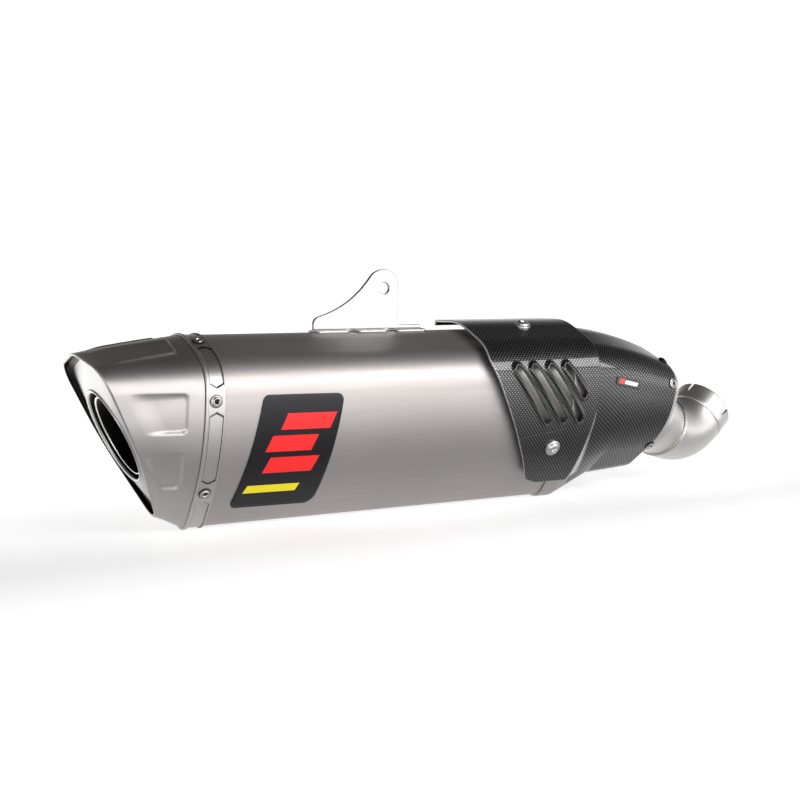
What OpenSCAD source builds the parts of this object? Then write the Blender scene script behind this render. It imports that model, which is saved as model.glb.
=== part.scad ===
// Slip-on motorcycle muffler: six-sided metal sleeve, slashed outlet cap, carbon inlet cap and
// heat shield, hanger bracket, bent slip-joint inlet, packed core and a removable noise insert.
// Built along X (outlet to inlet), Z up, then moved so that the hanger hole is the origin.

/* [Sleeve section] */
// Height of the ridge corner above the centre line
ridge_z = 71.5; // [66:0.5:76]
// Half width at the shoulder corner
shoulder_y = 54; // [48:1:58]
// Height of the shoulder corner
shoulder_z = 47; // [42:1:50]
// Half width at the hip corner
hip_y = 49; // [44:1:52]
// Height of the hip corner
hip_z = -12.5; // [-16:0.5:-8]
// Height of the keel corner
keel_z = -76; // [-82:0.5:-70]

/* [Sleeve] */
// Length of the sleeve
sleeve_l = 305; // [300:1:310]
// Sheet thickness of the sleeve
sleeve_t = 1; // [0.8:0.1:1.2]
// Width of the outlet band
band_w = 14; // [12:1:16]

/* [Outlet cap] */
// Angle of the slash cut from upright
slash = 25.3; // [20:0.1:28]
// Mouth position on the centre line
mouth_x = -46; // [-52:1:-42]
// Wall of the outlet cap
cap_t = 1.2; // [1:0.1:1.5]
// Radius of the round hole in the bezel
bezel_hole_r = 30; // [28:0.5:32]

/* [Gas path] */
// Outer radius of the outlet tube and of the core
tube_r = 27; // [25:0.5:28]
// Wall of the gas tubes
tube_t = 1.5; // [1:0.1:2]
// Rows of perforations along the core
core_rows = 12; // [6:1:16]
// Width of one perforation
perforation_w = 4; // [2:0.5:6]
// Radial running gap around the noise insert
insert_gap = 0.08; // [0.02:0.01:0.1]

/* [Inlet] */
// Outer radius of the bent inlet tube
inlet_r = 25; // [23:0.5:26]
// Bend radius of the inlet tube
bend_r = 44; // [40:1:50]
// Angle through which the inlet tube bends
bend_angle = 61; // [50:1:65]
// Length of the slotted socket
socket_l = 18; // [14:1:24]
// Bore radius of the slotted socket
socket_bore_r = 23.5; // [22:0.1:23.5]

/* [Carbon parts] */
// Wall of the carbon inlet cap
carbon_t = 1.6; // [1.2:0.1:2]
// Air gap under the heat shield
shield_gap = 5; // [4:0.5:6]
// Wall of the heat shield
shield_t = 2; // [1.6:0.1:2.4]
// Number of full-length louvre slots
long_slots = 3; // [1:1:3]

/* [Hanger] */
// Radius of the hanger bolt hole
hanger_r = 4.25; // [3.25:0.25:5.25]
// Thickness of the hanger plate
hanger_t = 3; // [2:0.5:4]
// Distance of the hanger hole from the outlet band
hanger_x = 160; // [130:1:180]
// Height of the hanger hole above the centre line
hanger_z = 98; // [90:1:104]

/* [Hidden] */
$fn = 64;
far = 400;
// Small gap between formed sheets that lie on each other
lap = 0.1;
lean = tan(slash);

// Section parameters: ridge z, shoulder y z, hip y z, keel z, then ridge, shoulder, hip and keel radii
mid = [ridge_z, shoulder_y, shoulder_z, hip_y, hip_z, keel_z, 50, 26, 130, 15.5];
rim = [57, 48, 46, 41.5, -8, -65, 40, 17, 80, 12];
inlet_rim = [50, 50, 28, 43, -14, -53, 30, 20, 60, 15];
ridge_top = ridge_z - mid[6] * (1 / cos(atan((ridge_z - shoulder_z) / shoulder_y)) - 1);
corner_steps = [6, 6, 8, 6, 8, 6];

// Inlet rim plane: x = rim_x + rim_up * z + rim_side * y
rim_x = 396;
rim_up = 0.1;
rim_side = -0.18;
taper_start = 308;
cap_start = 296;
taper_steps = 7;
// The keel rises most of its way over the first part of the taper
keel_knee = 0.42;
keel_share = 0.85;
can_start = 290;
can_back = 3;
plate_t = 2;
plate_back = 5;

// Start of the bent inlet tube and its heading there
bend_start = [431, 3, -20.5];
inlet_dip = 25;
inlet_yaw = 12;
neck_l = 65;
neck_wide_r = 30;
duct_end = [391, -5.5, -1.4];

tube_x0 = mouth_x + 3.5;
bezel_depth = 3.5;
bezel_t = 1.2;
tube_end = 60;
core_end = 296;
bulkhead_x = 9;
inlet_bulkhead_x = 300;
bulkhead_t = 1.5;
wool_t = 3;
bore_r = tube_r - tube_t;

insert_x = -18;
insert_r = bore_r - insert_gap;
collar_l = 18;
collar_t = 1.5;
neck_r = 17;
neck_t = 1.2;
funnel_l = 22;
insert_neck_l = 90;
grub_r = 3;
boss_r = 6;
boss_l = 5;

rivet_r = 4.4;
rivet_h = 1.6;
rivet_lift = 0.15;
inlet_rivet_lift = 0.3;
band_t = 1.2;
shank_r = 2.4;
outlet_rivet_z = [62, 25.2, -38];
inlet_rivet_z = [39, 22, -30];
inlet_rivet_u = 0.9;

shield_x = [217, 318];
shield_low_z = -52;
shield_flange = 28;
// The front edge runs straight down to sweep_z and then slants back
sweep_z = 46;
sweep = [53, -94];
slot_r = 3.1;
slot_pitch = 15;
slot_top = [241, 43];
slot_run = [31, -46];
short_slot = 0.62;
saddle_t = 1.8;
screw_places = [[270, 63], [281.5, -20]];
screw_r = 3;
screw_flange_r = 6.2;
screw_head_r = 4.8;
spacer_r = 6.5;
nut_r = 5.5;
nut_h = 6;

function unit(v) = v / norm(v);
function mix(a, b, t) = a + (b - a) * t;
function flat(lists) = [for (l = lists) each l];

// Arc that rounds the corner p between a and b, moved out along its normals by grow
function corner_arc(a, p, b, r, n, grow) =
    let (u = unit(a - p),
         v = unit(b - p),
         half = acos(u * v) / 2,
         c = p + unit(u + v) * r / sin(half),
         s = p + u * r / tan(half) - c,
         e = p + v * r / tan(half) - c,
         a0 = atan2(s.y, s.x),
         turn = atan2(s.x * e.y - s.y * e.x, s * e))
    [for (i = [0:n]) c + (r + grow) * [cos(a0 + turn * i / n), sin(a0 + turn * i / n)]];

// Closed outline with rounded corners
function rounded(points, radii, steps, grow = 0) =
    let (n = len(points))
    flat([for (i = [0:n - 1])
        corner_arc(points[(i + n - 1) % n], points[i], points[(i + 1) % n], radii[i], steps[i], grow)]);

// Six-sided muffler section in Y and Z, clockwise as seen from the inlet
function outline(s, grow = 0) = rounded(
    [[0, s[0]], [s[1], s[2]], [s[3], s[4]], [0, s[5]], [-s[3], s[4]], [-s[1], s[2]]],
    [s[6], s[7], s[8], s[9], s[8], s[7]], corner_steps, grow);

// Half width and outward normal angle of a section at height z: [y, angle]
function side_at(s, grow, z) =
    let (p = outline(s, grow),
         n = len(p),
         hits = [for (i = [0:n - 1])
             let (a = p[i], b = p[(i + 1) % n])
             if (a.x > 0 && b.x > 0 && a.y >= z && b.y < z)
                 [mix(a.x, b.x, (a.y - z) / (a.y - b.y)), atan2(b.y - a.y, b.x - a.x) + 90]])
    hits[0];

function rounded_shape(points, r) =
    rounded(points, [for (p = points) r], [for (p = points) 6]);

// Outlet cap ring: t = 0 is the slashed mouth, t = 1 the band
function mouth_ring(t, grow) =
    [for (p = outline(mix(rim, mid, t), grow)) [(1 - t) * (mouth_x - lean * p.y), p.x, p.y]];
// Inlet cap ring: u = 0 is the start of the taper, u = 1 the tilted rim
function keel_rise(u) = u < keel_knee
    ? keel_share * u / keel_knee
    : mix(keel_share, 1, (u - keel_knee) / (1 - keel_knee));
// The keel's height (entry 5) and the hip radius (entry 8) follow the keel's own rise
function taper_section(u) =
    let (even = mix(mid, inlet_rim, pow(u, 1.85)), keel = mix(mid, inlet_rim, keel_rise(u)))
    [for (i = [0:len(mid) - 1]) i == 5 || i == 8 ? keel[i] : even[i]];
function inlet_ring(u, grow, back = 0) =
    [for (p = outline(taper_section(u), grow))
        [mix(taper_start, rim_x + rim_side * p.x + rim_up * p.y - back, u), p.x, p.y]];
function straight_ring(x, s, grow) = [for (p = outline(s, grow)) [x, p.x, p.y]];

// Closed solid through rings of equal length, all running towards +X
module loft(rings) {
    n = len(rings[0]);
    m = len(rings);
    sides = [for (i = [0:m - 2], j = [0:n - 1])
        let (k = (j + 1) % n)
        each [[i * n + j, i * n + k, (i + 1) * n + k], [i * n + j, (i + 1) * n + k, (i + 1) * n + j]]];
    start = [for (j = [n - 1:-1:0]) j];
    finish = [for (j = [0:n - 1]) (m - 1) * n + j];
    polyhedron(flat(rings), concat(sides, [start], [finish]), convexity = 4);
}

// Thin wall between an outer and an inner stack of rings
module shell(outer, inner) {
    n = len(outer[0]);
    a = len(outer) - 1;
    b = len(inner) - 1;
    base = (a + 1) * n;
    faces = [for (j = [0:n - 1])
        let (k = (j + 1) % n,
             oj = a * n + j,
             ok = a * n + k,
             ij = base + b * n + j,
             ik = base + b * n + k)
        each concat(
            [for (i = [0:a - 1]) each [[i * n + j, i * n + k, (i + 1) * n + k],
                                       [i * n + j, (i + 1) * n + k, (i + 1) * n + j]]],
            [for (i = [0:b - 1]) each [[base + i * n + k, base + i * n + j, base + (i + 1) * n + k],
                                       [base + (i + 1) * n + k, base + i * n + j, base + (i + 1) * n + j]]],
            [[k, j, base + j], [k, base + j, base + k]],
            [[oj, ok, ik], [oj, ik, ij]])];
    polyhedron(concat(flat(outer), flat(inner)), faces, convexity = 6);
}

module along_x() {
    rotate([90, 0, 90])
        children();
}

module prism(s, grow, x0, x1) {
    translate([x0, 0, 0])
        along_x()
            linear_extrude(x1 - x0)
                polygon(outline(s, grow));
}

module tube_prism(s, out, in, x0, x1) {
    translate([x0, 0, 0])
        along_x()
            linear_extrude(x1 - x0)
                difference() {
                    polygon(outline(s, out));
                    polygon(outline(s, in));
                }
}

module rod(r, x0, x1) {
    translate([x0, 0, 0])
        rotate([0, 90, 0])
            cylinder(r = r, h = x1 - x0);
}

// Everything on the inlet side of the slashed plane through x on the centre line
module behind_slash(x) {
    translate([x, 0, 0])
        rotate([0, -slash, 0])
            translate([0, -far / 2, -far / 2])
                cube(far);
}

module slash_slab(x, t) {
    translate([x, 0, 0])
        rotate([0, -slash, 0])
            translate([0, -far / 2, -far / 2])
                cube([t, far, far]);
}

// Places children above the side of a section at height z, with +Z along the outward normal,
// which leans towards +X where the body tapers
module on_side(s, grow, x, z, side, lean_x = 0) {
    at = side_at(s, 0, z);
    angle = side > 0 ? at[1] : 180 - at[1];
    translate([x, side * at[0], z])
        rotate([angle - 90, 0, 0])
            rotate([0, lean_x, 0])
                translate([0, 0, grow])
                    children();
}

module rivet(shank_l) {
    difference() {
        intersection() {
            translate([0, 0, rivet_h - rivet_r * 1.4])
                sphere(r = rivet_r * 1.4);
            cylinder(r = rivet_r, h = rivet_h);
        }
        translate([0, 0, rivet_h / 2])
            cylinder(r = shank_r / 2, h = rivet_h);
    }
    translate([0, 0, -shank_l])
        cylinder(r = shank_r, h = shank_l);
}

module rivet_hole() {
    translate([0, 0, -8])
        cylinder(r = shank_r, h = 12);
}

module at_outlet_rivets(grow) {
    for (side = [-1, 1], z = outlet_rivet_z)
        on_side(mid, grow, band_w / 2, z, side)
            children();
}

module at_inlet_rivets(grow) {
    s = taper_section(inlet_rivet_u);
    before = taper_section(inlet_rivet_u - 0.1);
    x = mix(taper_start, rim_x, inlet_rivet_u);
    for (side = [-1, 1], z = inlet_rivet_z) {
        at = side_at(s, 0, z);
        narrowing = (side_at(before, 0, z)[0] - at[0]) * cos(at[1]);
        run = 0.1 * (rim_x + rim_side * side * at[0] + rim_up * z - taper_start);
        on_side(s, grow, x + inlet_rivet_u * (rim_side * side * at[0] + rim_up * z), z, side,
                atan(narrowing / run))
            children();
    }
}

module outlet_cap() {
    outer = [mouth_ring(0, 0), mouth_ring(0.33, 0), mouth_ring(0.67, 0), mouth_ring(1, 0),
             straight_ring(0, mid, -sleeve_t - lap), straight_ring(band_w - 1, mid, -sleeve_t - lap)];
    inner = [mouth_ring(0, -cap_t), mouth_ring(0.33, -cap_t), mouth_ring(0.67, -cap_t),
             mouth_ring(0.94, -cap_t), straight_ring(-1, mid, -sleeve_t - cap_t),
             straight_ring(band_w - 1, mid, -sleeve_t - cap_t)];
    color("silver")
        difference() {
            shell(outer, inner);
            at_outlet_rivets(0)
                rivet_hole();
        }
}

module outlet_bezel() {
    grow = -cap_t - 3 * lap;
    color("gainsboro")
        difference() {
            intersection() {
                loft([mouth_ring(0, grow), mouth_ring(0.33, grow)]);
                slash_slab(mouth_x + bezel_depth, bezel_t);
            }
            rod(bezel_hole_r, -far / 2, far / 2);
        }
}

module outlet_tube() {
    color("dimgray")
        difference() {
            intersection() {
                rod(tube_r, -far / 4, tube_end);
                behind_slash(tube_x0);
            }
            rod(bore_r, -far / 2, far / 2);
            insert_screw_frame()
                cylinder(r = grub_r, h = far / 8);
        }
}

// Frame of the insert's grub screw: +Z points straight down out of the tube
module insert_screw_frame() {
    translate([insert_x + collar_l / 2, 0, 0])
        rotate([180, 0, 0])
            children();
}

module insert_boss() {
    color("silver")
        insert_screw_frame()
            difference() {
                cylinder(r = boss_r, h = tube_r + boss_l);
                cylinder(r = grub_r, h = far / 8);
                rotate([0, 90, 0])
                    cylinder(r = tube_r, h = far / 8, center = true);
            }
}

module insert_screw() {
    color("dimgray")
        insert_screw_frame()
            translate([0, 0, insert_r])
                difference() {
                    cylinder(r = grub_r, h = boss_l + tube_t + 1);
                    translate([0, 0, boss_l])
                        cylinder(r = grub_r / 2, h = boss_l, $fn = 6);
                }
}

module outlet_bulkhead() {
    color("silver")
        difference() {
            prism(mid, -sleeve_t - cap_t - lap, bulkhead_x, bulkhead_x + bulkhead_t);
            rod(tube_r + lap, 0, far / 8);
        }
}

module outlet_band() {
    color("lightgray")
        difference() {
            tube_prism(mid, band_t, 0, 0, band_w);
            at_outlet_rivets(0)
                rivet_hole();
        }
}

module outlet_band_rivets() {
    color("white")
        at_outlet_rivets(band_t + rivet_lift)
            rivet(band_t + rivet_lift + sleeve_t + cap_t);
}

module sleeve() {
    color("darkgray")
        difference() {
            tube_prism(mid, 0, -sleeve_t, 1, 1 + sleeve_l);
            at_outlet_rivets(0)
                rivet_hole();
            at_screws(0)
                cylinder(r = nut_r - 1, h = 6, center = true);
        }
}

module perforated_core() {
    pitch = (core_end - tube_end) / core_rows;
    color("gray")
        difference() {
            rod(tube_r, tube_end, core_end);
            rod(bore_r, 0, far);
            for (i = [0:core_rows - 1], a = [0:3])
                translate([tube_end + (i + 0.5) * pitch, 0, 0])
                    rotate([a * 45 + (i % 2) * 22.5, 0, 0])
                        cube([pitch / 2, perforation_w, 3 * tube_r], center = true);
        }
}

module steel_wool_wrap() {
    color("slategray")
        difference() {
            rod(tube_r + wool_t, tube_end, core_end - 2);
            rod(tube_r, 0, far);
        }
}

module glass_packing() {
    color("ivory")
        difference() {
            prism(mid, -sleeve_t - 0.5, band_w + 2, can_start - 2);
            rod(tube_r + wool_t, 0, far);
            at_screws(0)
                cylinder(r = nut_r + 1, h = 4 * nut_h, center = true);
        }
}

module inlet_bulkhead() {
    color("silver")
        difference() {
            prism(mid, -sleeve_t - cap_t - 2 * lap, inlet_bulkhead_x, inlet_bulkhead_x + bulkhead_t);
            rod(tube_r, 0, far);
        }
}

// Straight slanted duct from the core to the neck
module inlet_duct() {
    start = [inlet_bulkhead_x + bulkhead_t, 0, 0];
    run = duct_end - start;
    color("gray")
        difference() {
            intersection() {
                translate(start - run / 4)
                    rotate([0, acos(run.z / norm(run)), atan2(run.y, run.x)])
                        difference() {
                            cylinder(r = tube_r, h = norm(run) * 1.5);
                            cylinder(r = bore_r, h = norm(run) * 1.5);
                        }
                translate([start.x, -far / 2, -far / 2])
                    cube(far);
            }
            rim_slab(plate_back + plate_t + 1 - far, far);
        }
}

// Metal can that carries the inlet, hidden under the carbon cap
module inlet_can() {
    out = -sleeve_t - lap;
    in = out - cap_t;
    steps = [for (i = [0:taper_steps]) i / taper_steps];
    color("silver")
        difference() {
            shell(concat([straight_ring(can_start, mid, out)], [for (u = steps) inlet_ring(u, out, can_back)]),
                  concat([straight_ring(can_start, mid, in)], [for (u = steps) inlet_ring(u, in, can_back)]));
            at_inlet_rivets(0)
                rivet_hole();
        }
}

module inlet_cap() {
    steps = [for (i = [0:taper_steps]) i / taper_steps];
    out = lap + carbon_t;
    color("#26282b")
        difference() {
            shell(concat([straight_ring(cap_start, mid, out)], [for (u = steps) inlet_ring(u, out)]),
                  concat([straight_ring(cap_start, mid, lap)], [for (u = steps) inlet_ring(u, lap)]));
            at_inlet_rivets(0)
                rivet_hole();
        }
}

module inlet_cap_rivets() {
    color("white")
        at_inlet_rivets(lap + carbon_t + inlet_rivet_lift)
            rivet(2 * lap + carbon_t + inlet_rivet_lift + sleeve_t + cap_t);
}

// Frame of the bent tube's start: +X is the tube's heading, +Z the side it bends to
module bend_frame() {
    translate(bend_start)
        rotate([0, inlet_dip, inlet_yaw])
            children();
}

module socket_frame() {
    bend_frame()
        translate([bend_r * sin(bend_angle), 0, bend_r * (1 - cos(bend_angle))])
            rotate([0, -bend_angle, 0])
                children();
}

// Slab of thickness t whose inlet-side face lies back behind the tilted rim
module rim_slab(back, t) {
    tilt = asin(rim_up / norm([1, rim_side, rim_up]));
    translate([rim_x - back, 0, 0])
        rotate([0, tilt, atan(-rim_side)])
            translate([-t, -far / 2, -far / 2])
                cube([t, far, far]);
}

module inlet_end_plate() {
    color("silver")
        difference() {
            intersection() {
                loft([for (u = [0.6, 0.8, 1]) inlet_ring(u, -sleeve_t - cap_t - 2 * lap, can_back)]);
                rim_slab(plate_back, plate_t);
            }
            bend_frame()
                rod(neck_wide_r - tube_t, -far / 4, 0);
        }
}

module inlet_neck() {
    color("silver")
        difference() {
            bend_frame()
                rotate([0, 90, 0])
                    rotate_extrude()
                        polygon([[inlet_r - tube_t, 0], [inlet_r, 0], [inlet_r, -8],
                                 [neck_wide_r, -26], [neck_wide_r, -neck_l],
                                 [neck_wide_r - tube_t, -neck_l], [neck_wide_r - tube_t, -26.4],
                                 [inlet_r - tube_t, -8.4]]);
            rim_slab(plate_back, far / 2);
        }
}

module inlet_bend() {
    color("silver")
        bend_frame()
            translate([0, 0, bend_r])
                rotate([90, 90, 0])
                    rotate_extrude(angle = bend_angle)
                        translate([bend_r, 0])
                            difference() {
                                circle(r = inlet_r);
                                circle(r = inlet_r - tube_t);
                            }
}

module bend_weld() {
    color("gainsboro")
        bend_frame()
            rotate([0, 90, 0])
                rotate_extrude()
                    translate([inlet_r, -2])
                        intersection() {
                            circle(r = 1.2);
                            translate([0, -2])
                                square([2, 4]);
                        }
}

module inlet_socket() {
    slots = 4;
    slot_w = 3;
    slot_l = 10;
    color("silver")
        socket_frame()
            difference() {
                rod(inlet_r + 0.3, 0, socket_l);
                rod(socket_bore_r, -1, socket_l + 1);
                for (a = [0:slots - 1])
                    rotate([a * 360 / slots, 0, 0])
                        translate([socket_l - slot_l, -slot_w / 2, 0])
                            cube([2 * slot_l, slot_w, 2 * inlet_r]);
            }
}

module at_screws(grow) {
    for (place = screw_places)
        on_side(mid, grow, place[0], place[1], -1)
            children();
}

// Outer-side half of the section from the lowest point up to the ridge, cut off below z = low
function outer_half(grow, low) =
    let (p = outline(mid, grow),
         n = len(p),
         ridge = corner_steps[0] / 2,
         keel = corner_steps[0] + corner_steps[1] + corner_steps[2] + 3 + corner_steps[3] / 2)
    concat([[-side_at(mid, grow, low)[0], low]],
           [for (i = [keel:n + ridge]) if (p[i % n].y > low) p[i % n]]);

// Strip over the outer side that runs level past the ridge
module shield_profile() {
    out = shield_gap + shield_t;
    top = ridge_top + out;
    outer = outer_half(out, shield_low_z);
    inner = outer_half(shield_gap, shield_low_z);
    polygon(concat(outer, [[shield_flange, top], [shield_flange, top - shield_t]],
                   [for (i = [len(inner) - 1:-1:0]) inner[i]]));
}

module slot_cut(share) {
    drop = slot_run * share;
    turn = atan2(drop.y, drop.x);
    circle(r = slot_r);
    translate(drop)
        circle(r = slot_r);
    rotate(turn)
        translate([0, -slot_r])
            square([norm(drop), 2 * slot_r]);
}

// Prism along Y over the outer side, drawn in X and Z
module side_prism() {
    rotate([90, 0, 0])
        linear_extrude(far / 4)
            children();
}

// Turned-in rear edge that closes the air gap over the inlet cap
module shield_lip_profile() {
    outer = outer_half(shield_gap + shield_t, shield_low_z);
    inner = outer_half(lap + carbon_t + 0.6, shield_low_z);
    polygon(concat(outer, [for (i = [len(inner) - 1:-1:0]) inner[i]]));
}

module heat_shield() {
    color("#1b1c1f")
        difference() {
            translate([shield_x[0], 0, 0])
                along_x()
                    linear_extrude(shield_x[1] - shield_x[0])
                        shield_profile();
            translate([0, -shield_flange / 3, 0])
                side_prism() {
                    polygon([[0, sweep_z], [shield_x[0] + 1, sweep_z], [shield_x[0], sweep_z] + sweep,
                             [shield_x[0] + 2 * sweep.x, 2 * shield_low_z], [0, 2 * shield_low_z]]);
                    for (i = [0:long_slots])
                        translate(slot_top + [i * slot_pitch, 0])
                            slot_cut(i < long_slots ? 1 : short_slot);
                }
            at_screws(0)
                cylinder(r = screw_r + 0.3, h = 20);
        }
    color("#1b1c1f")
        translate([shield_x[1] - lap, 0, 0])
            along_x()
                linear_extrude(shield_t)
                    shield_lip_profile();
}

module shield_screws() {
    reach = shield_gap + 2 + nut_h;
    color("white")
        at_screws(shield_gap + shield_t) {
            difference() {
                union() {
                    cylinder(r = screw_flange_r, h = 1.2);
                    intersection() {
                        cylinder(r = screw_head_r, h = 3.4);
                        translate([0, 0, -4])
                            sphere(r = 7.8);
                    }
                }
                translate([0, 0, 1.4])
                    cylinder(r = 2, h = 3, $fn = 6);
            }
            translate([0, 0, -reach - shield_t])
                cylinder(r = screw_r, h = reach + shield_t);
        }
}

module shield_spacers() {
    color("black")
        at_screws(1.2)
            difference() {
                cylinder(r = spacer_r, h = shield_gap - 1.8);
                cylinder(r = screw_r + 0.2, h = shield_gap);
            }
}

module shield_nuts() {
    color("gray")
        at_screws(1) {
            difference() {
                union() {
                    translate([0, 0, -nut_h - 2])
                        cylinder(r = nut_r - 1, h = nut_h + 2);
                    translate([0, 0, -0.7])
                        cylinder(r = nut_r + 0.8, h = 0.7);
                }
                translate([0, 0, -nut_h * 3])
                    cylinder(r = screw_r, h = nut_h * 4);
            }
        }
}

module hanger_saddle() {
    feet = [[hanger_x - 58, 26], [hanger_x - 25, 24], [hanger_x + 7, 25]];
    color("gainsboro")
        for (foot = feet)
            intersection() {
                tube_prism(mid, saddle_t, 0, foot[0], foot[0] + foot[1]);
                translate([0, -9, 0])
                    cube([far, 18, far / 4]);
            }
}

module hanger_bracket() {
    base = ridge_top + saddle_t;
    top = hanger_z + 14;
    corners = [[-58, base], [-58, base + 8], [-27.6, base + 17.5], [-6.9, top], [11.7, top],
               [11.7, base + 2.6], [31, base + 2.6], [31, base]];
    color("gainsboro")
        translate([hanger_x, hanger_t / 2, 0])
            rotate([90, 0, 0])
                linear_extrude(hanger_t)
                    difference() {
                        polygon(rounded(corners, [0.5, 6, 75, 14, 11, 1.5, 1, 0.5],
                                        [for (p = corners) 8]));
                        translate([0, hanger_z])
                            circle(r = hanger_r);
                    }
}

module emblem_plate() {
    corners = [[41, 28], [101, 27], [91.5, -53], [28, -52]];
    color("black")
        intersection() {
            tube_prism(mid, 0.8, 0, 20, 110);
            side_prism()
                polygon(rounded_shape(corners, 5));
        }
}

module cap_badge() {
    corners = [[337, 30.5], [361, 25.5], [359.5, 18.5], [336, 23.5]];
    steps = [0.1, 0.35, 0.6];
    color("white")
        intersection() {
            shell([for (u = steps) inlet_ring(u, lap + carbon_t + 0.9)],
                  [for (u = steps) inlet_ring(u, lap + carbon_t + 0.1)]);
            side_prism()
                polygon(rounded_shape(corners, 1));
        }
}

module insert_collar() {
    color("gray")
        difference() {
            rod(insert_r, insert_x, insert_x + collar_l);
            rod(insert_r - collar_t, insert_x - 1, insert_x + collar_l + 1);
        }
}

module insert_funnel() {
    x0 = insert_x + collar_l;
    color("gray")
        translate([x0, 0, 0])
            rotate([0, 90, 0])
                rotate_extrude()
                    polygon([[insert_r - collar_t, 0], [insert_r, 0], [neck_r, funnel_l],
                             [neck_r - neck_t, funnel_l]]);
}

module insert_neck() {
    x0 = insert_x + collar_l + funnel_l;
    color("gray")
        difference() {
            rod(neck_r, x0, x0 + insert_neck_l);
            rod(neck_r - neck_t, x0 - 1, x0 + insert_neck_l + 1);
        }
}

module placed() {
    translate([-hanger_x, 0, -hanger_z])
        children();
}

placed() outlet_cap();
placed() outlet_bezel();
placed() outlet_tube();
placed() insert_boss();
placed() insert_screw();
placed() outlet_bulkhead();
placed() outlet_band();
placed() outlet_band_rivets();
placed() sleeve();
placed() perforated_core();
placed() steel_wool_wrap();
placed() glass_packing();
placed() inlet_bulkhead();
placed() inlet_duct();
placed() inlet_can();
placed() inlet_cap();
placed() inlet_cap_rivets();
placed() inlet_end_plate();
placed() inlet_neck();
placed() inlet_bend();
placed() bend_weld();
placed() inlet_socket();
placed() heat_shield();
placed() shield_screws();
placed() shield_spacers();
placed() shield_nuts();
placed() hanger_saddle();
placed() hanger_bracket();
placed() emblem_plate();
placed() cap_badge();
placed() insert_collar();
placed() insert_funnel();
placed() insert_neck();
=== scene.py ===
from math import atan, atan2, cos, pi, radians, sin, tan

import bmesh
import bpy
import numpy as np
from mathutils import Matrix, Vector


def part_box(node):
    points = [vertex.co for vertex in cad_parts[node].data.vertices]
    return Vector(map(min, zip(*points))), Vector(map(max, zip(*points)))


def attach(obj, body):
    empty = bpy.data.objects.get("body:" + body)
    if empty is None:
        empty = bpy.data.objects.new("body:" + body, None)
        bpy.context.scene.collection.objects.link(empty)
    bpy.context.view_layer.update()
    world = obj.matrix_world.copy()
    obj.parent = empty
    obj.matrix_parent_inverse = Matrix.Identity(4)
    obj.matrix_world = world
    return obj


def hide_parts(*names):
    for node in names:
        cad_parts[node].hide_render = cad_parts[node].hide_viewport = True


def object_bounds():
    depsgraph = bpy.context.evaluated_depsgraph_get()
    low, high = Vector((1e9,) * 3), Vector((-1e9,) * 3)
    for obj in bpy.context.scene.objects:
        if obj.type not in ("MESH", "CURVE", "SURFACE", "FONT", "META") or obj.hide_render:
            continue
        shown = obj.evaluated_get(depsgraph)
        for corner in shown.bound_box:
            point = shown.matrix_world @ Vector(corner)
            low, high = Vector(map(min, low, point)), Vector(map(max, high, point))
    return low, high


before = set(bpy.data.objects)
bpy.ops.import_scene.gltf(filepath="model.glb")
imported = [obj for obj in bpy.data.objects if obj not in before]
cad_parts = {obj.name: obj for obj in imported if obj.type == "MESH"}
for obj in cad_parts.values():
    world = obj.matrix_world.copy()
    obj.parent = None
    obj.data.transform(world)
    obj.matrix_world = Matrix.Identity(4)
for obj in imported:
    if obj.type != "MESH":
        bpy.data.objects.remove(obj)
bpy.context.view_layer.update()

# Lengths below are millimetres in the muffler's own frame: X runs from the outlet band's mouth-side edge
# to the inlet, Y across and Z up, with zero on the gas path's centre line.
MM = 0.001
BAND_LOW, BAND_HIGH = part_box("outlet_band")
CORE_LOW, CORE_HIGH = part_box("perforated_core")
ORIGIN = np.array([BAND_LOW.x, 0.0, (CORE_LOW.z + CORE_HIGH.z) / 2])

# Section: ridge z, shoulder y z, hip y z, keel z, then ridge, shoulder, hip and keel radii; MID_TOP is the
# height of the rounded ridge
MID = np.array([71.5, 54, 47, 49, -12.5, -76, 50, 26, 130, 15.5])
MOUTH = np.array([57, 48, 46, 41.5, -8, -65, 40, 17, 80, 12])
INLET = np.array([50, 50, 28, 43, -14, -53, 30, 20, 60, 15])

MID_TOP = MID[0] - MID[6] * (1 / cos(atan((MID[0] - MID[2]) / MID[1])) - 1)

# Outlet end: the mouth's place on the centre line and its lean, then the band and the heights of its rivets
MOUTH_X = -46.0
LEAN = tan(radians(25.3))
BAND_W = 14.0
BAND_T = 1.2
RIVET_Z = (62.0, 25.2, -38.0)

# Inlet end: the cap's taper runs from TAPER_START to a rim that is tilted by RIM_UP and RIM_SIDE
SLEEVE_END = 306.0
CAP_START = 296.0
TAPER_START = 308.0
KEEL_KNEE, KEEL_SHARE = 0.42, 0.85
RIM_X, RIM_UP, RIM_SIDE = 396.0, 0.1, -0.18
CARBON = 1.7

# Heat shield: how far its outside stands off the sleeve, and its low edge
SHIELD_GROW = 7.0
SHIELD_LOW = -52.0


# ---------------------------------------------------------------- geometry helpers
def mix(a, b, t):
    return a + (b - a) * t


def ramp(x, low, high):
    """Smooth step from 0 at low to 1 at high."""
    t = np.clip((x - low) / (high - low), 0, 1)
    return t * t * (3 - 2 * t)


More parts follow.
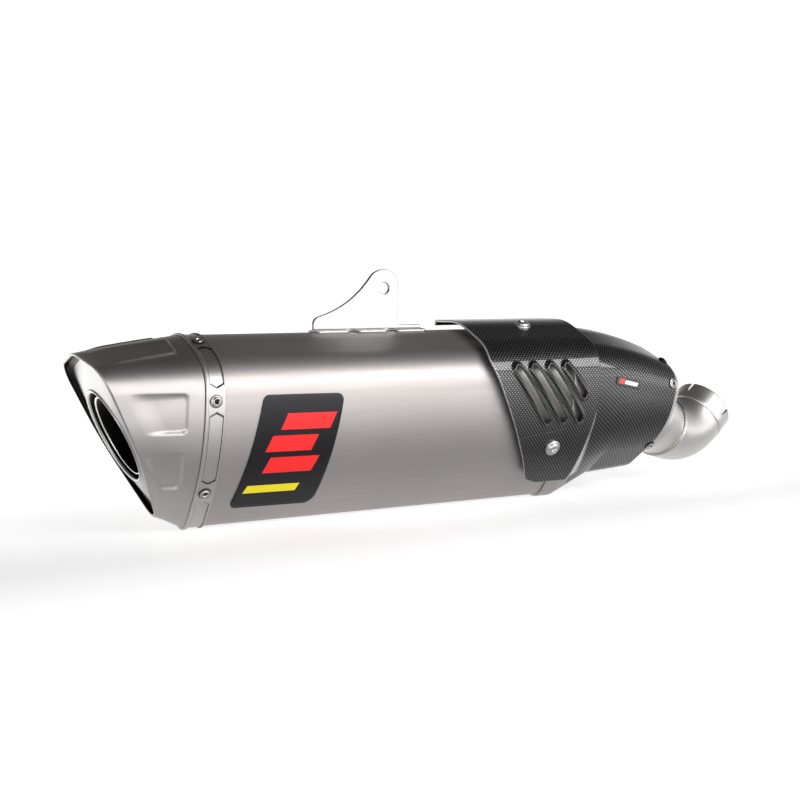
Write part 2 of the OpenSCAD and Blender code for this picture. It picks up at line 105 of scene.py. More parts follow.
def corner_arc(a, p, b, r, steps, grow=0.0):
    """Arc of radius r that rounds corner p of the path a-p-b, moved out by grow."""
    a, p, b = (np.asarray(q, float) for q in (a, p, b))
    u = (a - p) / np.linalg.norm(a - p)
    v = (b - p) / np.linalg.norm(b - p)
    half = np.arccos(u @ v) / 2
    centre = p + (u + v) / np.linalg.norm(u + v) * r / np.sin(half)
    start = p + u * r / np.tan(half) - centre
    end = p + v * r / np.tan(half) - centre
    turn = atan2(start[0] * end[1] - start[1] * end[0], start @ end)
    angle = atan2(start[1], start[0]) + turn * np.linspace(0, 1, steps + 1)
    return centre + (r + grow) * np.stack([np.cos(angle), np.sin(angle)], 1)


def section_arcs(s, grow, steps):
    """Rounded corners of a section from the ridge round to the inner shoulder."""
    corners = [(0, s[0]), (s[1], s[2]), (s[3], s[4]), (0, s[5]), (-s[3], s[4]), (-s[1], s[2])]
    radii = [s[6], s[7], s[8], s[9], s[8], s[7]]
    return [corner_arc(corners[i - 1], corners[i], corners[(i + 1) % 6], radii[i], steps[i], grow)
            for i in range(6)]


def length(points):
    return np.linalg.norm(np.diff(points, axis=0), axis=1).sum()


MID_ARCS = section_arcs(MID, 0, [16] * 6)
ARC_MM = [length(a) for a in MID_ARCS]
FLAT_MM = [np.linalg.norm(MID_ARCS[(i + 1) % 6][0] - MID_ARCS[i][-1]) for i in range(6)]


def outline(s, grow=0.0, step=1.0):
    """Section outline in Y and Z: from the keel up the outer side, over the ridge and down the inner side."""
    arcs = section_arcs(s, grow, [max(3, round(mm / step)) for mm in ARC_MM])
    parts = []
    for i, arc in enumerate(arcs):
        steps = max(1, round(FLAT_MM[i] / step))
        t = np.linspace(0, 1, steps + 1)[1:-1, None]
        parts += [arc, mix(arc[-1], arcs[(i + 1) % 6][0], t)]
    points = np.vstack(parts)
    keel = len(np.vstack(parts[:6])) + len(arcs[3]) // 2
    return np.roll(points, -keel, axis=0)


def straight_rows(x, grow, step=1.0):
    """The sleeve's outline, moved out by grow, at one X."""
    p = outline(MID, grow, step)
    return np.column_stack([np.full(len(p), x), p])


def run_length(points):
    """Length along a closed outline at each point, with the whole length last."""
    closed = np.vstack([points, points[:1]])
    return np.concatenate([[0], np.cumsum(np.linalg.norm(np.diff(closed, axis=0), axis=1))])


def side_at(s, z, grow=0.0):
    """Half width of a section at height z, and its outward normal in Y and Z."""
    p = outline(s, grow, 2.0)
    p = p[: len(p) // 2]
    p = p[np.argmin(p[:, 1]):]
    y = -np.interp(z, p[:, 1], p[:, 0])
    above = -np.interp(z + 0.5, p[:, 1], p[:, 0])
    below = -np.interp(z - 0.5, p[:, 1], p[:, 0])
    normal = np.stack([np.ones_like(y), below - above], -1)
    return y, normal / np.linalg.norm(normal, axis=-1, keepdims=True)


def to_polygon(points, polygon):
    """Signed distance from 2D points to a convex polygon, negative inside."""
    a = np.asarray(polygon, float)
    b = np.roll(a, -1, axis=0)
    away = np.full(points.shape[:-1], 1e9)
    inside = np.ones(points.shape[:-1], bool)
    way = np.sign(np.cross(b[0] - a[0], a[2] - a[0]))
    for p, q in zip(a, b):
        edge, v = q - p, points - p
        t = np.clip((v @ edge) / (edge @ edge), 0, 1)
        away = np.minimum(away, np.linalg.norm(v - t[..., None] * edge, axis=-1))
        inside &= way * (edge[0] * v[..., 1] - edge[1] * v[..., 0]) >= 0
    return np.where(inside, -away, away)


def to_line(points, a, b):
    """Distance from 2D points to the segment a-b, and the share of the way along it."""
    a, b = np.asarray(a, float), np.asarray(b, float)
    t = np.clip(((points - a) @ (b - a)) / ((b - a) @ (b - a)), 0, 1)
    return np.linalg.norm(points - a - t[..., None] * (b - a), axis=-1), t


def grid_normals(p, close_cols):
    """Outward normals of a grid of points."""
    along = np.gradient(p, axis=0)
    if close_cols:
        around = (np.roll(p, -1, axis=1) - np.roll(p, 1, axis=1)) / 2
    else:
        around = np.gradient(p, axis=1)
    n = np.cross(along, around)
    return n / np.maximum(np.linalg.norm(n, axis=-1, keepdims=True), 1e-9)


def add_object(name, data):
    obj = bpy.data.objects.new(name, data)
    bpy.context.scene.collection.objects.link(obj)
    return obj


def edit_mesh(obj, change):
    """Runs change on an object's mesh."""
    mesh = bmesh.new()
    mesh.from_mesh(obj.data)
    change(mesh)
    mesh.to_mesh(obj.data)
    mesh.free()
    return obj


def fix_normals(obj):
    return edit_mesh(obj, lambda mesh: bmesh.ops.recalc_face_normals(mesh, faces=mesh.faces))


def build(name, points, faces, uv=None):
    """Mesh object from points in millimetres; uv holds one pair for each face corner."""
    mesh = bpy.data.meshes.new(name)
    mesh.from_pydata((ORIGIN + np.asarray(points, float).reshape(-1, 3) * MM).tolist(), [], faces)
    if uv is not None:
        layer = mesh.uv_layers.new(name="flat")
        layer.data.foreach_set("uv", np.asarray(uv, np.float32).ravel())
    mesh.polygons.foreach_set("use_smooth", [True] * len(mesh.polygons))
    mesh.update()
    return add_object(name, mesh)


def grid(name, p, close_cols=False, close_rows=False, uv=None, keep=None, row_slots=None):
    """Quads through rows of points; keep masks cells and row_slots gives each row of cells a material."""
    rows, cols = p.shape[:2]
    i, j = np.meshgrid(np.arange(rows if close_rows else rows - 1),
                       np.arange(cols if close_cols else cols - 1), indexing="ij")
    if keep is not None:
        i, j = i[keep], j[keep]
    i, j = i.ravel(), j.ravel()
    corners = [(i, j), (i + 1, j), (i + 1, j + 1), (i, j + 1)]
    faces = np.stack([(a % rows) * cols + b % cols for a, b in corners], 1)
    pairs = None
    if uv is not None:
        pairs = np.stack([uv[a, b] for a, b in corners], 1)
    obj = build(name, p, faces.tolist(), pairs)
    if row_slots is not None:
        obj.data.polygons.foreach_set("material_index", np.asarray(row_slots)[i].astype(np.int32))
    if keep is not None:
        edit_mesh(obj, lambda mesh: bmesh.ops.delete(
            mesh, geom=[v for v in mesh.verts if not v.link_faces], context="VERTS"))
    return obj


def flip(obj):
    obj.data.flip_normals()
    return obj


def thicken(obj, mm, even=True):
    """Gives a sheet its thickness on the side away from its normals."""
    solid = obj.modifiers.new("thickness", "SOLIDIFY")
    solid.thickness = mm * MM
    solid.offset = -1
    solid.use_even_offset = even


def finish_piece(obj, slot, materials, *nodes, body="muffler"):
    """Gives a piece its materials and body and hides the CAD nodes that it stands for; slot is not used."""
    for m in materials:
        obj.data.materials.append(m)
    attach(obj, body)
    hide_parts(*nodes)


def join(objects, name):
    """One object from several meshes that share one list of materials."""
    mesh = bmesh.new()
    for o in objects:
        mesh.from_mesh(o.data)
        bpy.data.objects.remove(o)
    data = bpy.data.meshes.new(name)
    mesh.to_mesh(data)
    mesh.free()
    return add_object(name, data)


def matrix_points(m, p):
    return p @ np.array(m.to_3x3()).T + np.array(m.translation)


def round_turn(count):
    return np.linspace(0, 2 * pi, count, endpoint=False)


def ring(x, r, angle):
    """Circle of radius r about the local X axis."""
    return np.stack([np.full(len(angle), x), r * np.cos(angle), r * np.sin(angle)], -1)


def lathe(name, profile, place, turns, row_slots=None, shape=None):
    """Solid of revolution about the local X axis; the profile is a closed loop of (x, radius) pairs."""
    angle = round_turn(turns)
    x, r = np.array(profile, float).T
    radius = np.repeat(r[:, None], turns, 1)
    if shape is not None:
        radius = shape(radius, angle)
    p = np.stack([np.repeat(x[:, None], turns, 1), radius * np.cos(angle), radius * np.sin(angle)], -1)
    return flip(grid(name, matrix_points(place, p), close_cols=True, close_rows=True, row_slots=row_slots))


def cap_lathe(name, profile, place, turns, row_slots=None, shape=None):
    """Solid of revolution about the local X axis, closed at both poles by the profile's zero radii."""
    obj = lathe(name, profile, place, turns, row_slots, shape)
    edit_mesh(obj, lambda mesh: bmesh.ops.remove_doubles(mesh, verts=mesh.verts, dist=1e-7))
    return fix_normals(obj)


def frame_at(position, normal, lean=0.0):
    """Matrix whose local X is a surface's outward normal in Y and Z, leaned towards +X."""
    x = Vector((sin(lean), normal[0] * cos(lean), normal[1] * cos(lean)))
    z = Vector((1, 0, 0)) - x * x.x
    z.normalize()
    y = z.cross(x)
    m = Matrix((x, y, z)).transposed().to_4x4()
    m.translation = Vector(position)
    return m


def weld_bead(path, r, ripple, ripples):
    """Ring of round, rippled section along a closed path."""
    out = path - path.mean(0)
    tangent = np.roll(path, -1, axis=0) - np.roll(path, 1, axis=0)
    tangent /= np.linalg.norm(tangent, axis=1, keepdims=True)
    out = out - (out * tangent).sum(1, keepdims=True) * tangent
    out /= np.linalg.norm(out, axis=1, keepdims=True)
    across = np.cross(tangent, out)
    turn = round_turn(12)
    share = np.arange(len(path)) / len(path)
    radius = r * (1 + ripple * np.abs(np.sin(pi * ripples * share)))[:, None, None]
    spoke = out[:, None] * np.cos(turn)[:, None] + across[:, None] * np.sin(turn)[:, None]
    return fix_normals(grid("bead", path[:, None] + radius * spoke, close_cols=True, close_rows=True))


def rounded(corners, radii, steps=8):
    """Closed loop through corners that are rounded by radii."""
    n = len(corners)
    return np.vstack([corner_arc(corners[i - 1], corners[i], corners[(i + 1) % n], radii[i], steps)
                      for i in range(n)])


def split_edges(loop, step):
    """Adds points along a loop's long edges."""
    out = []
    for p, q in zip(loop, np.roll(loop, -1, axis=0)):
        n = max(1, int(np.linalg.norm(q - p) / step))
        out += [mix(p, q, t) for t in np.arange(n) / n]
    return np.array(out)


def side_normals(tangent):
    """Unit normals to the left of a 2D path's tangents."""
    normal = np.column_stack([-tangent[:, 1], tangent[:, 0]])
    return normal / np.maximum(np.linalg.norm(normal, axis=1, keepdims=True), 1e-9)


def radians_list(first, last, count):
    return [radians(v) for v in np.linspace(first, last, count)]


def plate_on(name, loop, project, t, edge, base, rings):
    """Closed plate laid on a surface in rings; project(points, height) gives the 3D points."""
    centre = loop.mean(0)
    reach = np.linalg.norm(loop - centre, axis=1).mean()
    rows, uvs = [], []
    profile = [(1, base), (1, base + t - edge)]
    for a in radians_list(30, 90, 3):
        profile.append((1 - edge * (1 - cos(a)) / reach, base + t - edge + edge * sin(a)))
    top = profile[-1][0]
    profile += [(top * (1 - k / rings), base + t) for k in range(1, rings)]
    for share, height in profile:
        flat = centre + (loop - centre) * share
        rows.append(project(flat, height))
        uvs.append(flat)
    n = len(loop)
    rows, uvs = np.array(rows), np.array(uvs)
    points = np.vstack([rows.reshape(-1, 3), project(centre[None], base + t), project(centre[None], base)])
    flat = np.vstack([uvs.reshape(-1, 2), centre[None], centre[None]])
    faces = []
    for k in range(len(rows) - 1):
        for j in range(n):
            q = (j + 1) % n
            faces.append([k * n + j, k * n + q, (k + 1) * n + q, (k + 1) * n + j])
    last, tip, under = (len(rows) - 1) * n, len(rows) * n, len(rows) * n + 1
    faces += [[last + j, last + (j + 1) % n, tip] for j in range(n)]
    faces += [[(j + 1) % n, j, under] for j in range(n)]
    pairs = [flat[v] for f in faces for v in f]
    return fix_normals(build(name, points, faces, pairs))


# ---------------------------------------------------------------- materials
class Looks:
    """Nodes of a material or a world being written: node() adds a node and links or sets its inputs."""

    def __init__(self, owner, shader="Principled BSDF"):
        self.owner = owner
        owner.use_nodes = True
        self.tree = owner.node_tree
        self.shader = self.tree.nodes[shader]

    def node(self, kind, settings=None, **inputs):
        n = self.tree.nodes.new(kind)
        for key, value in (settings or {}).items():
            setattr(n, key, value)
        for key, value in inputs.items():
            socket = n.inputs[int(key[1:])] if key[0] == "_" else n.inputs[key.replace("_", " ")]
            self.put(socket, value)
        return n

    def put(self, socket, value):
        if isinstance(value, bpy.types.NodeSocket):
            self.tree.links.new(value, socket)
        else:
            socket.default_value = value

    def math(self, operation, a, b=0.0):
        return self.node("ShaderNodeMath", {"operation": operation}, _0=a, _1=b).outputs[0]

    def coordinates(self, scale):
        place = self.node("ShaderNodeTexCoord")
        return self.node("ShaderNodeMapping", Vector=place.outputs["Object"], Scale=scale).outputs[0]

    def noise(self, scale, detail=3.0, vector=None, stretch=(1, 1, 1)):
        if vector is None:
            vector = self.coordinates(stretch)
        return self.node("ShaderNodeTexNoise", Vector=vector, Scale=scale, Detail=detail).outputs["Fac"]

    def blend(self, fac, a, b):
        n = self.node("ShaderNodeMix", {"data_type": "RGBA"})
        self.put(n.inputs[0], fac)
        self.put(n.inputs[6], a)
        self.put(n.inputs[7], b)
        return n.outputs[2]

    def span(self, value, low, high, to_low, to_high, kind="LINEAR"):
        return self.node("ShaderNodeMapRange", {"interpolation_type": kind}, Value=value, From_Min=low,
                         From_Max=high, To_Min=to_low, To_Max=to_high).outputs[0]

    def split(self, vector):
        return self.node("ShaderNodeSeparateXYZ", Vector=vector).outputs

    def within(self, value, low, high):
        above = self.math("GREATER_THAN", value, low)
        below = self.math("LESS_THAN", value, high)
        return self.math("MULTIPLY", above, below)

    def bump(self, height, distance_mm, strength=1.0):
        n = self.node("ShaderNodeBump", Height=height, Strength=strength, Distance=distance_mm * MM)
        return n.outputs[0]

    def set(self, **inputs):
        for key, value in inputs.items():
            self.put(self.shader.inputs[key.replace("_", " ")], value)
        return self.owner


def new_looks(name):
    return Looks(bpy.data.materials.new(name))


def rgb(r, g=None, b=None):
    """Colour with full opacity; one value gives a grey."""
    return (r, r, r, 1.0) if g is None else (r, g, b, 1.0)


def brushed(name, dark, light, rough, grain, streaks=(3, 60, 60), scratch=0.2):
    """Metal with fine directional scratches, slow colour drift and uneven polish."""
    m = new_looks(name)
    fine = m.noise(grain, 3.0, stretch=streaks)
    slow = m.noise(9.0, 2.0)
    colour = m.blend(m.span(slow, 0.3, 0.7, 0, 1), dark, light)
    shade = m.math("MULTIPLY", m.span(fine, 0.3, 0.7, 0.0, 1.0), scratch)
    colour = m.blend(shade, colour, rgb(*(0.6 * c for c in dark[:3])))
    roughness = m.span(fine, 0.3, 0.7, rough - 0.02, rough + 0.03)
    roughness = m.math("ADD", roughness, m.span(slow, 0.3, 0.7, -0.015, 0.02))
    return m.set(Base_Color=colour, Metallic=1.0, Roughness=roughness)


def cloth(name, cell, gloss, under, over):
    """Fine woven carbon under clear lacquer, laid out by the piece's flat map in millimetres; the warp tows
    are painted lighter than the weft and brightest along each tow's crown, a painted sheen.
    """
    m = new_looks(name)
    flat = m.node("ShaderNodeUVMap", {"uv_map": "flat"}).outputs[0]
    both = m.split(flat)
    u = m.math("DIVIDE", both[0], cell[0])
    v = m.math("DIVIDE", both[1], cell[1])
    step = m.math("ADD", m.math("FLOOR", u), m.math("FLOOR", v))
    up = m.math("LESS_THAN", m.math("FLOORED_MODULO", step, 2.0), 0.5)
    across = m.math("SINE", m.math("MULTIPLY", m.math("FRACT", u), pi))
    down = m.math("SINE", m.math("MULTIPLY", m.math("FRACT", v), pi))
    crown = m.math("MULTIPLY", across, down)
    fibres = m.noise(1.0, 2.0, m.node("ShaderNodeMapping", Vector=flat, Scale=(6, 1.2, 1)).outputs[0])
    drift = m.noise(22.0, 2.0)
    # Painted sheen: the warp tows' colour rises towards each tow's crown
    tone = m.math("MULTIPLY", m.math("POWER", crown, 1.5), m.span(drift, 0.3, 0.7, 0.75, 1.1))
    tone = m.math("MULTIPLY", tone, m.span(fibres, 0.3, 0.7, 0.75, 1.15))
    normal = m.bump(m.math("MULTIPLY", crown, m.math("ADD", 0.35, m.math("MULTIPLY", up, 0.65))), 0.05)
    return m.set(Base_Color=m.blend(m.math("MULTIPLY", up, tone), under, over),
                 Metallic=m.math("MULTIPLY", up, 0.9), Roughness=m.span(fibres, 0.3, 0.7, 0.34, 0.42),
                 Specular_IOR_Level=0.2, Coat_Weight=0.75, Coat_Roughness=gloss, Coat_IOR=1.5, Normal=normal)


def plain(name, dark, light, metallic, rough, grain=80.0, bump=0.02):
    """Quiet finish for pieces that are seen little: mottled colour, uneven roughness, fine relief."""
    m = new_looks(name)
    mottle = m.noise(grain, 5.0)
    return m.set(Base_Color=m.blend(m.span(mottle, 0.3, 0.7, 0, 1), dark, light), Metallic=metallic,
                 Roughness=m.span(mottle, 0.3, 0.7, rough - 0.06, rough + 0.06), Normal=m.bump(mottle, bump))


def printed(name, slope, speck, black, marks):
    """Black plate with slanted bars, laid out by shares of the plate; a mark is a colour and its bars."""
    m = new_looks(name)
    u, v = m.split(m.node("ShaderNodeUVMap", {"uv_map": "share"}).outputs[0])[:2]
    slant = m.math("SUBTRACT", u, m.math("MULTIPLY", m.math("SUBTRACT", v, 0.5), slope))
    speck = m.noise(speck, 3.0)
    colour = m.blend(m.span(speck, 0.3, 0.7, 0, 1), *black)
    for tone, bars in marks:
        shown = 0.0
        for low, high, left, right in bars:
            bar = m.math("MULTIPLY", m.within(v, low, high), m.within(slant, left, right))
            shown = m.math("ADD", shown, bar)
        colour = m.blend(shown, colour, tone)
    return m, speck, colour


def emblem_looks():
    """Satin black plate with three slanted red bars and a yellow line."""
    red = [(0.70, 0.84, 0.22, 0.80), (0.51, 0.65, 0.16, 0.70), (0.32, 0.46, 0.26, 0.84)]
    marks = [(rgb(0.86, 0.022, 0.022), red), (rgb(0.86, 0.72, 0.01), [(0.14, 0.21, 0.18, 0.80)])]
    black = rgb(0.004, 0.004, 0.006), rgb(0.008, 0.008, 0.011)
    m, speck, colour = printed("emblem_print", 0.28, 300.0, black, marks)
    return m.set(Base_Color=colour, Roughness=m.span(speck, 0.3, 0.7, 0.3, 0.4), Specular_IOR_Level=0.25,
                 Coat_Weight=0.25, Coat_Roughness=0.06)


def badge_looks():
    """Small black badge with a red block and a pale bar."""
    marks = [(rgb(0.75, 0.02, 0.02), [(0.25, 0.78, 0.11, 0.31)]),
             (rgb(0.75, 0.75, 0.76), [(0.3, 0.72, 0.35, 0.9)])]
    black = rgb(0.004, 0.004, 0.005), rgb(0.012, 0.012, 0.013)
    m, speck, colour = printed("badge_print", 0.08, 400.0, black, marks)
    return m.set(Base_Color=colour, Roughness=m.span(speck, 0.3, 0.7, 0.28, 0.36), Coat_Weight=0.4)


# Metals: dark and light colour, roughness, grain, then the streaks' stretch and how deep the scratches read
SATIN = (10, 10, 10), 0.05
POLISHED = (6, 6, 6), 0.05
TITANIUM = brushed("brushed_titanium", rgb(0.45, 0.42, 0.41), rgb(0.49, 0.46, 0.45), 0.5, 9.0,
                   (2, 50, 50), 0.1)
CAP_METAL = brushed("satin_cap", rgb(0.46, 0.435, 0.425), rgb(0.50, 0.475, 0.46), 0.42, 8.0, *SATIN)
BAND_METAL = brushed("band_metal", rgb(0.52, 0.495, 0.48), rgb(0.58, 0.555, 0.54), 0.40, 10.0, *SATIN)
BRIGHT = brushed("polished_steel", rgb(0.66, 0.65, 0.64), rgb(0.74, 0.73, 0.72), 0.24, 8.0, *POLISHED)
DISH = brushed("dished_plate", rgb(0.38, 0.37, 0.36), rgb(0.43, 0.42, 0.41), 0.3, 8.0, *POLISHED)
SCREW_STEEL = brushed("screw_steel", rgb(0.58, 0.57, 0.56), rgb(0.66, 0.65, 0.64), 0.30, 8.0, *POLISHED)
RIVET_STEEL = brushed("fastener_steel", rgb(0.40, 0.39, 0.38), rgb(0.48, 0.47, 0.46), 0.30, 8.0, *POLISHED)
PIPE = brushed("satin_pipe", rgb(0.68, 0.66, 0.645), rgb(0.75, 0.73, 0.715), 0.40, 8.0, (8, 8, 8), 0.06)
WELD = brushed("weld_bead", rgb(0.45, 0.43, 0.39), rgb(0.56, 0.54, 0.49), 0.34, 30.0, (20, 20, 20), 0.15)
# Near black steel for hidden inner parts, also used as painted shade in the bezel's corner and hole, inside
# the outlet tube and in the rivets' grooves and middles
BLACKENED_AND_SHADE = brushed("blackened_steel_and_painted_shade", rgb(0.012, 0.011, 0.011), rgb(0.03, 0.028, 0.027), 0.42, 14.0, (8, 8, 8))
# Painted shade: near black for the cap's inner wall and for the walls of the band's stamped windows
SHADOW = brushed("painted_shade_dark", rgb(0.03, 0.032, 0.034), rgb(0.06, 0.062, 0.065), 0.22, 14.0, (8, 8, 8))
HANGER = brushed("hanger_steel", rgb(0.50), rgb(0.55), 0.5, 10.0, (6, 6, 30), 0.04)
# Painted shade: dark grey for the hanger plate's edge walls
HANGER_SHADED_EDGE = brushed("hanger_edge_painted_shade", rgb(0.10, 0.10, 0.11), rgb(0.22, 0.22, 0.23), 0.3, 10.0, (6, 6, 30))

# Carbon: the size of a cell of the weave, how rough its lacquer is, and the tones under and over; the lighter
# over tone on the warp tows is painted sheen
CARBON_TONE = rgb(0.30, 0.295, 0.30)
CARBON_CLOTH = cloth("carbon_cloth", (1.35, 1.55), 0.02, rgb(0.002), CARBON_TONE)
CARBON_EDGE = cloth("carbon_edge", (1.35, 1.0), 0.12, CARBON_TONE, rgb(0.85, 0.84, 0.85))

EMBLEM = emblem_looks()
BADGE = badge_looks()
RUBBER = plain("rubber_spacer", rgb(0.01), rgb(0.03), 0.0, 0.75)
WOOL = plain("steel_wool", rgb(0.12), rgb(0.4), 0.8, 0.5, 900.0, 0.2)
PACKING = plain("glass_packing", rgb(0.55, 0.52, 0.42), rgb(0.8, 0.77, 0.68), 0.0, 0.85, 500.0, 0.2)
HIDDEN_STEEL = plain("inner_steel", rgb(0.3, 0.3, 0.29), rgb(0.42, 0.41, 0.4), 1.0, 0.35)


# ---------------------------------------------------------------- outlet end
def mouth_rows(t, grow, step):
    """Cap section rows: t = 0 is the slashed mouth and t = 1 the band."""
    p = outline(mix(MOUTH, MID, t), grow, step)
    x = (1 - t) * (MOUTH_X - LEAN * p[:, 1])
    return np.column_stack([x, p])


def panel(points, corners, radius, depth=2.1, soft=2.6):
    """Depth of a pressed panel with rounded corners, 0 outside it."""
    return depth * (1 - ramp(to_polygon(points, corners) - radius, -soft / 2, soft / 2))


def cap_relief(p):
    """Pressed panels on the sides, fading out towards the mouth, and raised ones beside the ridge."""
    x, y, z = p[..., 0], p[..., 1], p[..., 2]
    ahead = x - (MOUTH_X - LEAN * z)
    side = np.stack([x, z], -1)
    top = np.stack([x, np.abs(y)], -1)
    upper = panel(side, [(-50, 27.5), (-14.5, 27), (-14.5, 8), (-50, 8)], 3, 1.8) * ramp(ahead, 8, 26)
    lower = panel(side, [(-34, -12), (-14.5, -12.5), (-13, -32.5), (-20, -32.5)], 2.5, 2.4, 3.6)
    lower *= ramp(ahead, 1, 9)
    crown = panel(top, [(-70, 11), (-15, 14), (-15, 29), (-70, 33)], 3, 3.2, 2.2) * ramp(ahead, 4, 26)
    crown_above = 44
    return np.where(z < crown_above, np.maximum(upper, lower), -0.5 * crown)


def make_cap():
    """Pressed cap with a thick wall, a rounded mouth edge and a tail that slips under the band; its inner
    wall is drawn near black as painted shade.
    """
    step, wall, lip = 1.0, 1.8, 0.9
    shares = np.concatenate([[0.0, 0.012], np.linspace(0.03, 0.985, 72), [1.0]])
    outer = np.array([mouth_rows(t, 0, step) for t in shares])
    relief = cap_relief(outer)[..., None]
    normal = grid_normals(outer, True)
    outer = outer - normal * relief
    inner = np.array([mouth_rows(t, -wall, step) for t in shares])
    inner = inner - normal * relief
    turn = []
    for a in radians_list(150, 30, 5):
        row = mouth_rows(0, -lip + lip * cos(a), step)
        row[:, 0] += lip * (1 - sin(a))
        turn.append(row)
    outer[0, :, 0] += lip
    inner[0, :, 0] += lip
    tail = [(0.3, -1.1), (BAND_W - 1, -1.1), (BAND_W - 1, -2.2), (0.3, -2.2)]
    tail_rows = [straight_rows(x, g, step) for x, g in tail]
    rows = np.concatenate([inner[::-1], turn, outer, tail_rows])
    slots = np.zeros(len(rows), int)
    # The inner wall's rows, up to where the edge turns, get the near black finish: painted shade
    slots[: len(inner) + 1] = 1
    obj = grid("outlet_cap_shell", rows, close_cols=True, close_rows=True, row_slots=slots)
    finish_piece(obj, "titanium_cap", [CAP_METAL, SHADOW], "outlet_cap")


def hole_rows(outer, circle):
    """Points of a round hole matched to an outline's points by their angle about the hole's centre."""
    angle = np.arctan2(outer[:, 1], outer[:, 0])
    return circle * np.column_stack([np.cos(angle), np.sin(angle)])


def make_bezel():
    """Dished plate: deep along the wall, rising to a round hole with a thin bright lip; the corner along the
    wall and the way down into the hole are drawn near black as painted shade.
    """
    deep, fillet, hole, hole_deep, lip, gap = 6.0, 2.2, 30.2, 0.8, 0.7, 1.95
    share = deep / 70
    rows = []

    def row(p, depth):
        rows.append(np.column_stack([MOUTH_X + depth - LEAN * p[:, 1], p]))

    for a in radians_list(0, 70, 5):
        p = outline(mix(MOUTH, MID, share), -gap - fillet * (1 - cos(a)), 1.0)
        row(p, deep - fillet + fillet * sin(a))
    edge = outline(mix(MOUTH, MID, share), -gap - fillet, 1.0)
    rim = hole_rows(edge, hole + lip)
    for t in np.linspace(0.04, 1, 16):
        row(mix(edge, rim, t), mix(deep, hole_deep + 0.4, t))
    for a in radians_list(0, 90, 5):
        row(hole_rows(edge, hole + lip * (1 - sin(a))), hole_deep + lip * (1 - cos(a)))
    row(hole_rows(edge, hole), hole_deep + 9)
    slots = np.zeros(len(rows), int)
    # The rows in the corner along the cap's wall and the rows going down into the hole get the near black
    # finish: painted shade
    slots[:5] = 1
    slots[-2:] = 1
    obj = grid("bezel_plate", np.array(rows), close_cols=True, row_slots=slots)
    thicken(obj, 0.8)
    finish_piece(obj, "bright_steel", [DISH, BLACKENED_AND_SHADE], "outlet_bezel")


def make_outlet_tube():
    """Round tube whose bright front edge is cut to the mouth's slant; the rest of the tube is drawn near
    black as painted shade.
    """
    outer, inner, front, back = 27.0, 25.5, MOUTH_X + 2.8, 60.0
    angle = round_turn(96)
    mean, wall = (outer + inner) / 2, (outer - inner) / 2
    spec = [(back, outer, 0), (20, outer, 0), (6, outer, 1), (wall, outer, 1)]
    spec += [(wall * (1 - cos(a)), mean + wall * sin(a), 1) for a in radians_list(60, -60, 5)]
    spec += [(wall, inner, 1), (3, inner, 1), (12, inner, 1), (20, inner, 0), (back, inner, 0)]
    rows = []
    for x, r, slashed in spec:
        row = ring(x, r, angle)
        if slashed:
            row[:, 0] += front - LEAN * row[:, 2]
        rows.append(row)
    # All rows but the front edge get the near black finish: painted shade inside the tube
    slots = np.ones(len(rows), int)
    slots[3:9] = 0
    obj = flip(grid("outlet_pipe", np.array(rows), close_cols=True, close_rows=True, row_slots=slots))
    finish_piece(obj, "tube_dark", [BRIGHT, BLACKENED_AND_SHADE], "outlet_tube")


def rivet_run():
    """Length along the outline at each rivet of the band, keel to keel."""
    p = outline(MID)
    run = run_length(p)
    half = len(p) // 2
    lengths = []
    for z in RIVET_Z:
        i = np.argmin(np.abs(p[:half, 1] - z) + 100 * (p[:half, 0] > 0))
        lengths += [run[i], run[-1] - run[i]]
    return sorted(lengths), run[-1]


def make_band():
    """Collar with a stamped six-sided window between each two rivets and a bead along both edges; the
    windows' sloped walls are drawn near black as painted shade.
    """
    step = 0.7
    p = outline(MID, 0, step)
    run = run_length(p)[:-1]
    rivets, whole = rivet_run()
    x = np.linspace(0.25, BAND_W - 0.25, 46)
    flat = np.stack(np.meshgrid(x, run, indexing="ij"), -1)
    recess = np.zeros(flat.shape[:2])
    ends = rivets + [rivets[0] + whole]
    for a, b in zip(ends[:-1], ends[1:]):
        gap, point = 8.2, 2.6
        shape = [(7.6, a + gap), (12.4, a + gap + point), (12.4, b - gap - point), (7.6, b - gap),
                 (2.9, b - gap - point), (2.9, a + gap + point)]
        for shift in (0, -whole):
            shifted = [(q[0], q[1] + shift) for q in shape]
            recess = np.maximum(recess, 1 - ramp(to_polygon(flat, shifted), -0.3, 0.3))
    bead = 0.45 * np.exp(-((x - 1.1) / 0.8) ** 2) + 0.3 * np.exp(-((x - 13.3) / 0.5) ** 2)
    grow = BAND_T - 0.1 + bead[:, None] - 0.8 * recess
    base = np.column_stack([np.zeros(len(p)), p])
    normal = grid_normals(np.array([base, base + [1, 0, 0]]), True)[0]
    outer = base[None] + np.concatenate([x[:, None, None], np.zeros((len(x), 1, 2))], -1)
    outer = outer + normal * grow[..., None]
    edge = [(BAND_W, BAND_T - 0.35), (BAND_W, 0.05), (0, 0.05), (0, BAND_T - 0.35)]
    rows = [straight_rows(q, g, step) for q, g in edge]
    obj = grid("band_collar", np.concatenate([outer, rows]), close_cols=True, close_rows=True)
    # Cells on the windows' sloped walls get the near black finish: painted shade
    middle = (recess[:-1] + recess[1:]) / 2
    middle = (middle + np.roll(middle, -1, axis=1)) / 2
    wall = np.zeros(len(obj.data.polygons), np.int32)
    wall[: middle.size] = ((middle > 0.12) & (middle < 0.88)).ravel()
    obj.data.polygons.foreach_set("material_index", wall)
    finish_piece(obj, "titanium_cap", [BAND_METAL, SHADOW], "outlet_band")


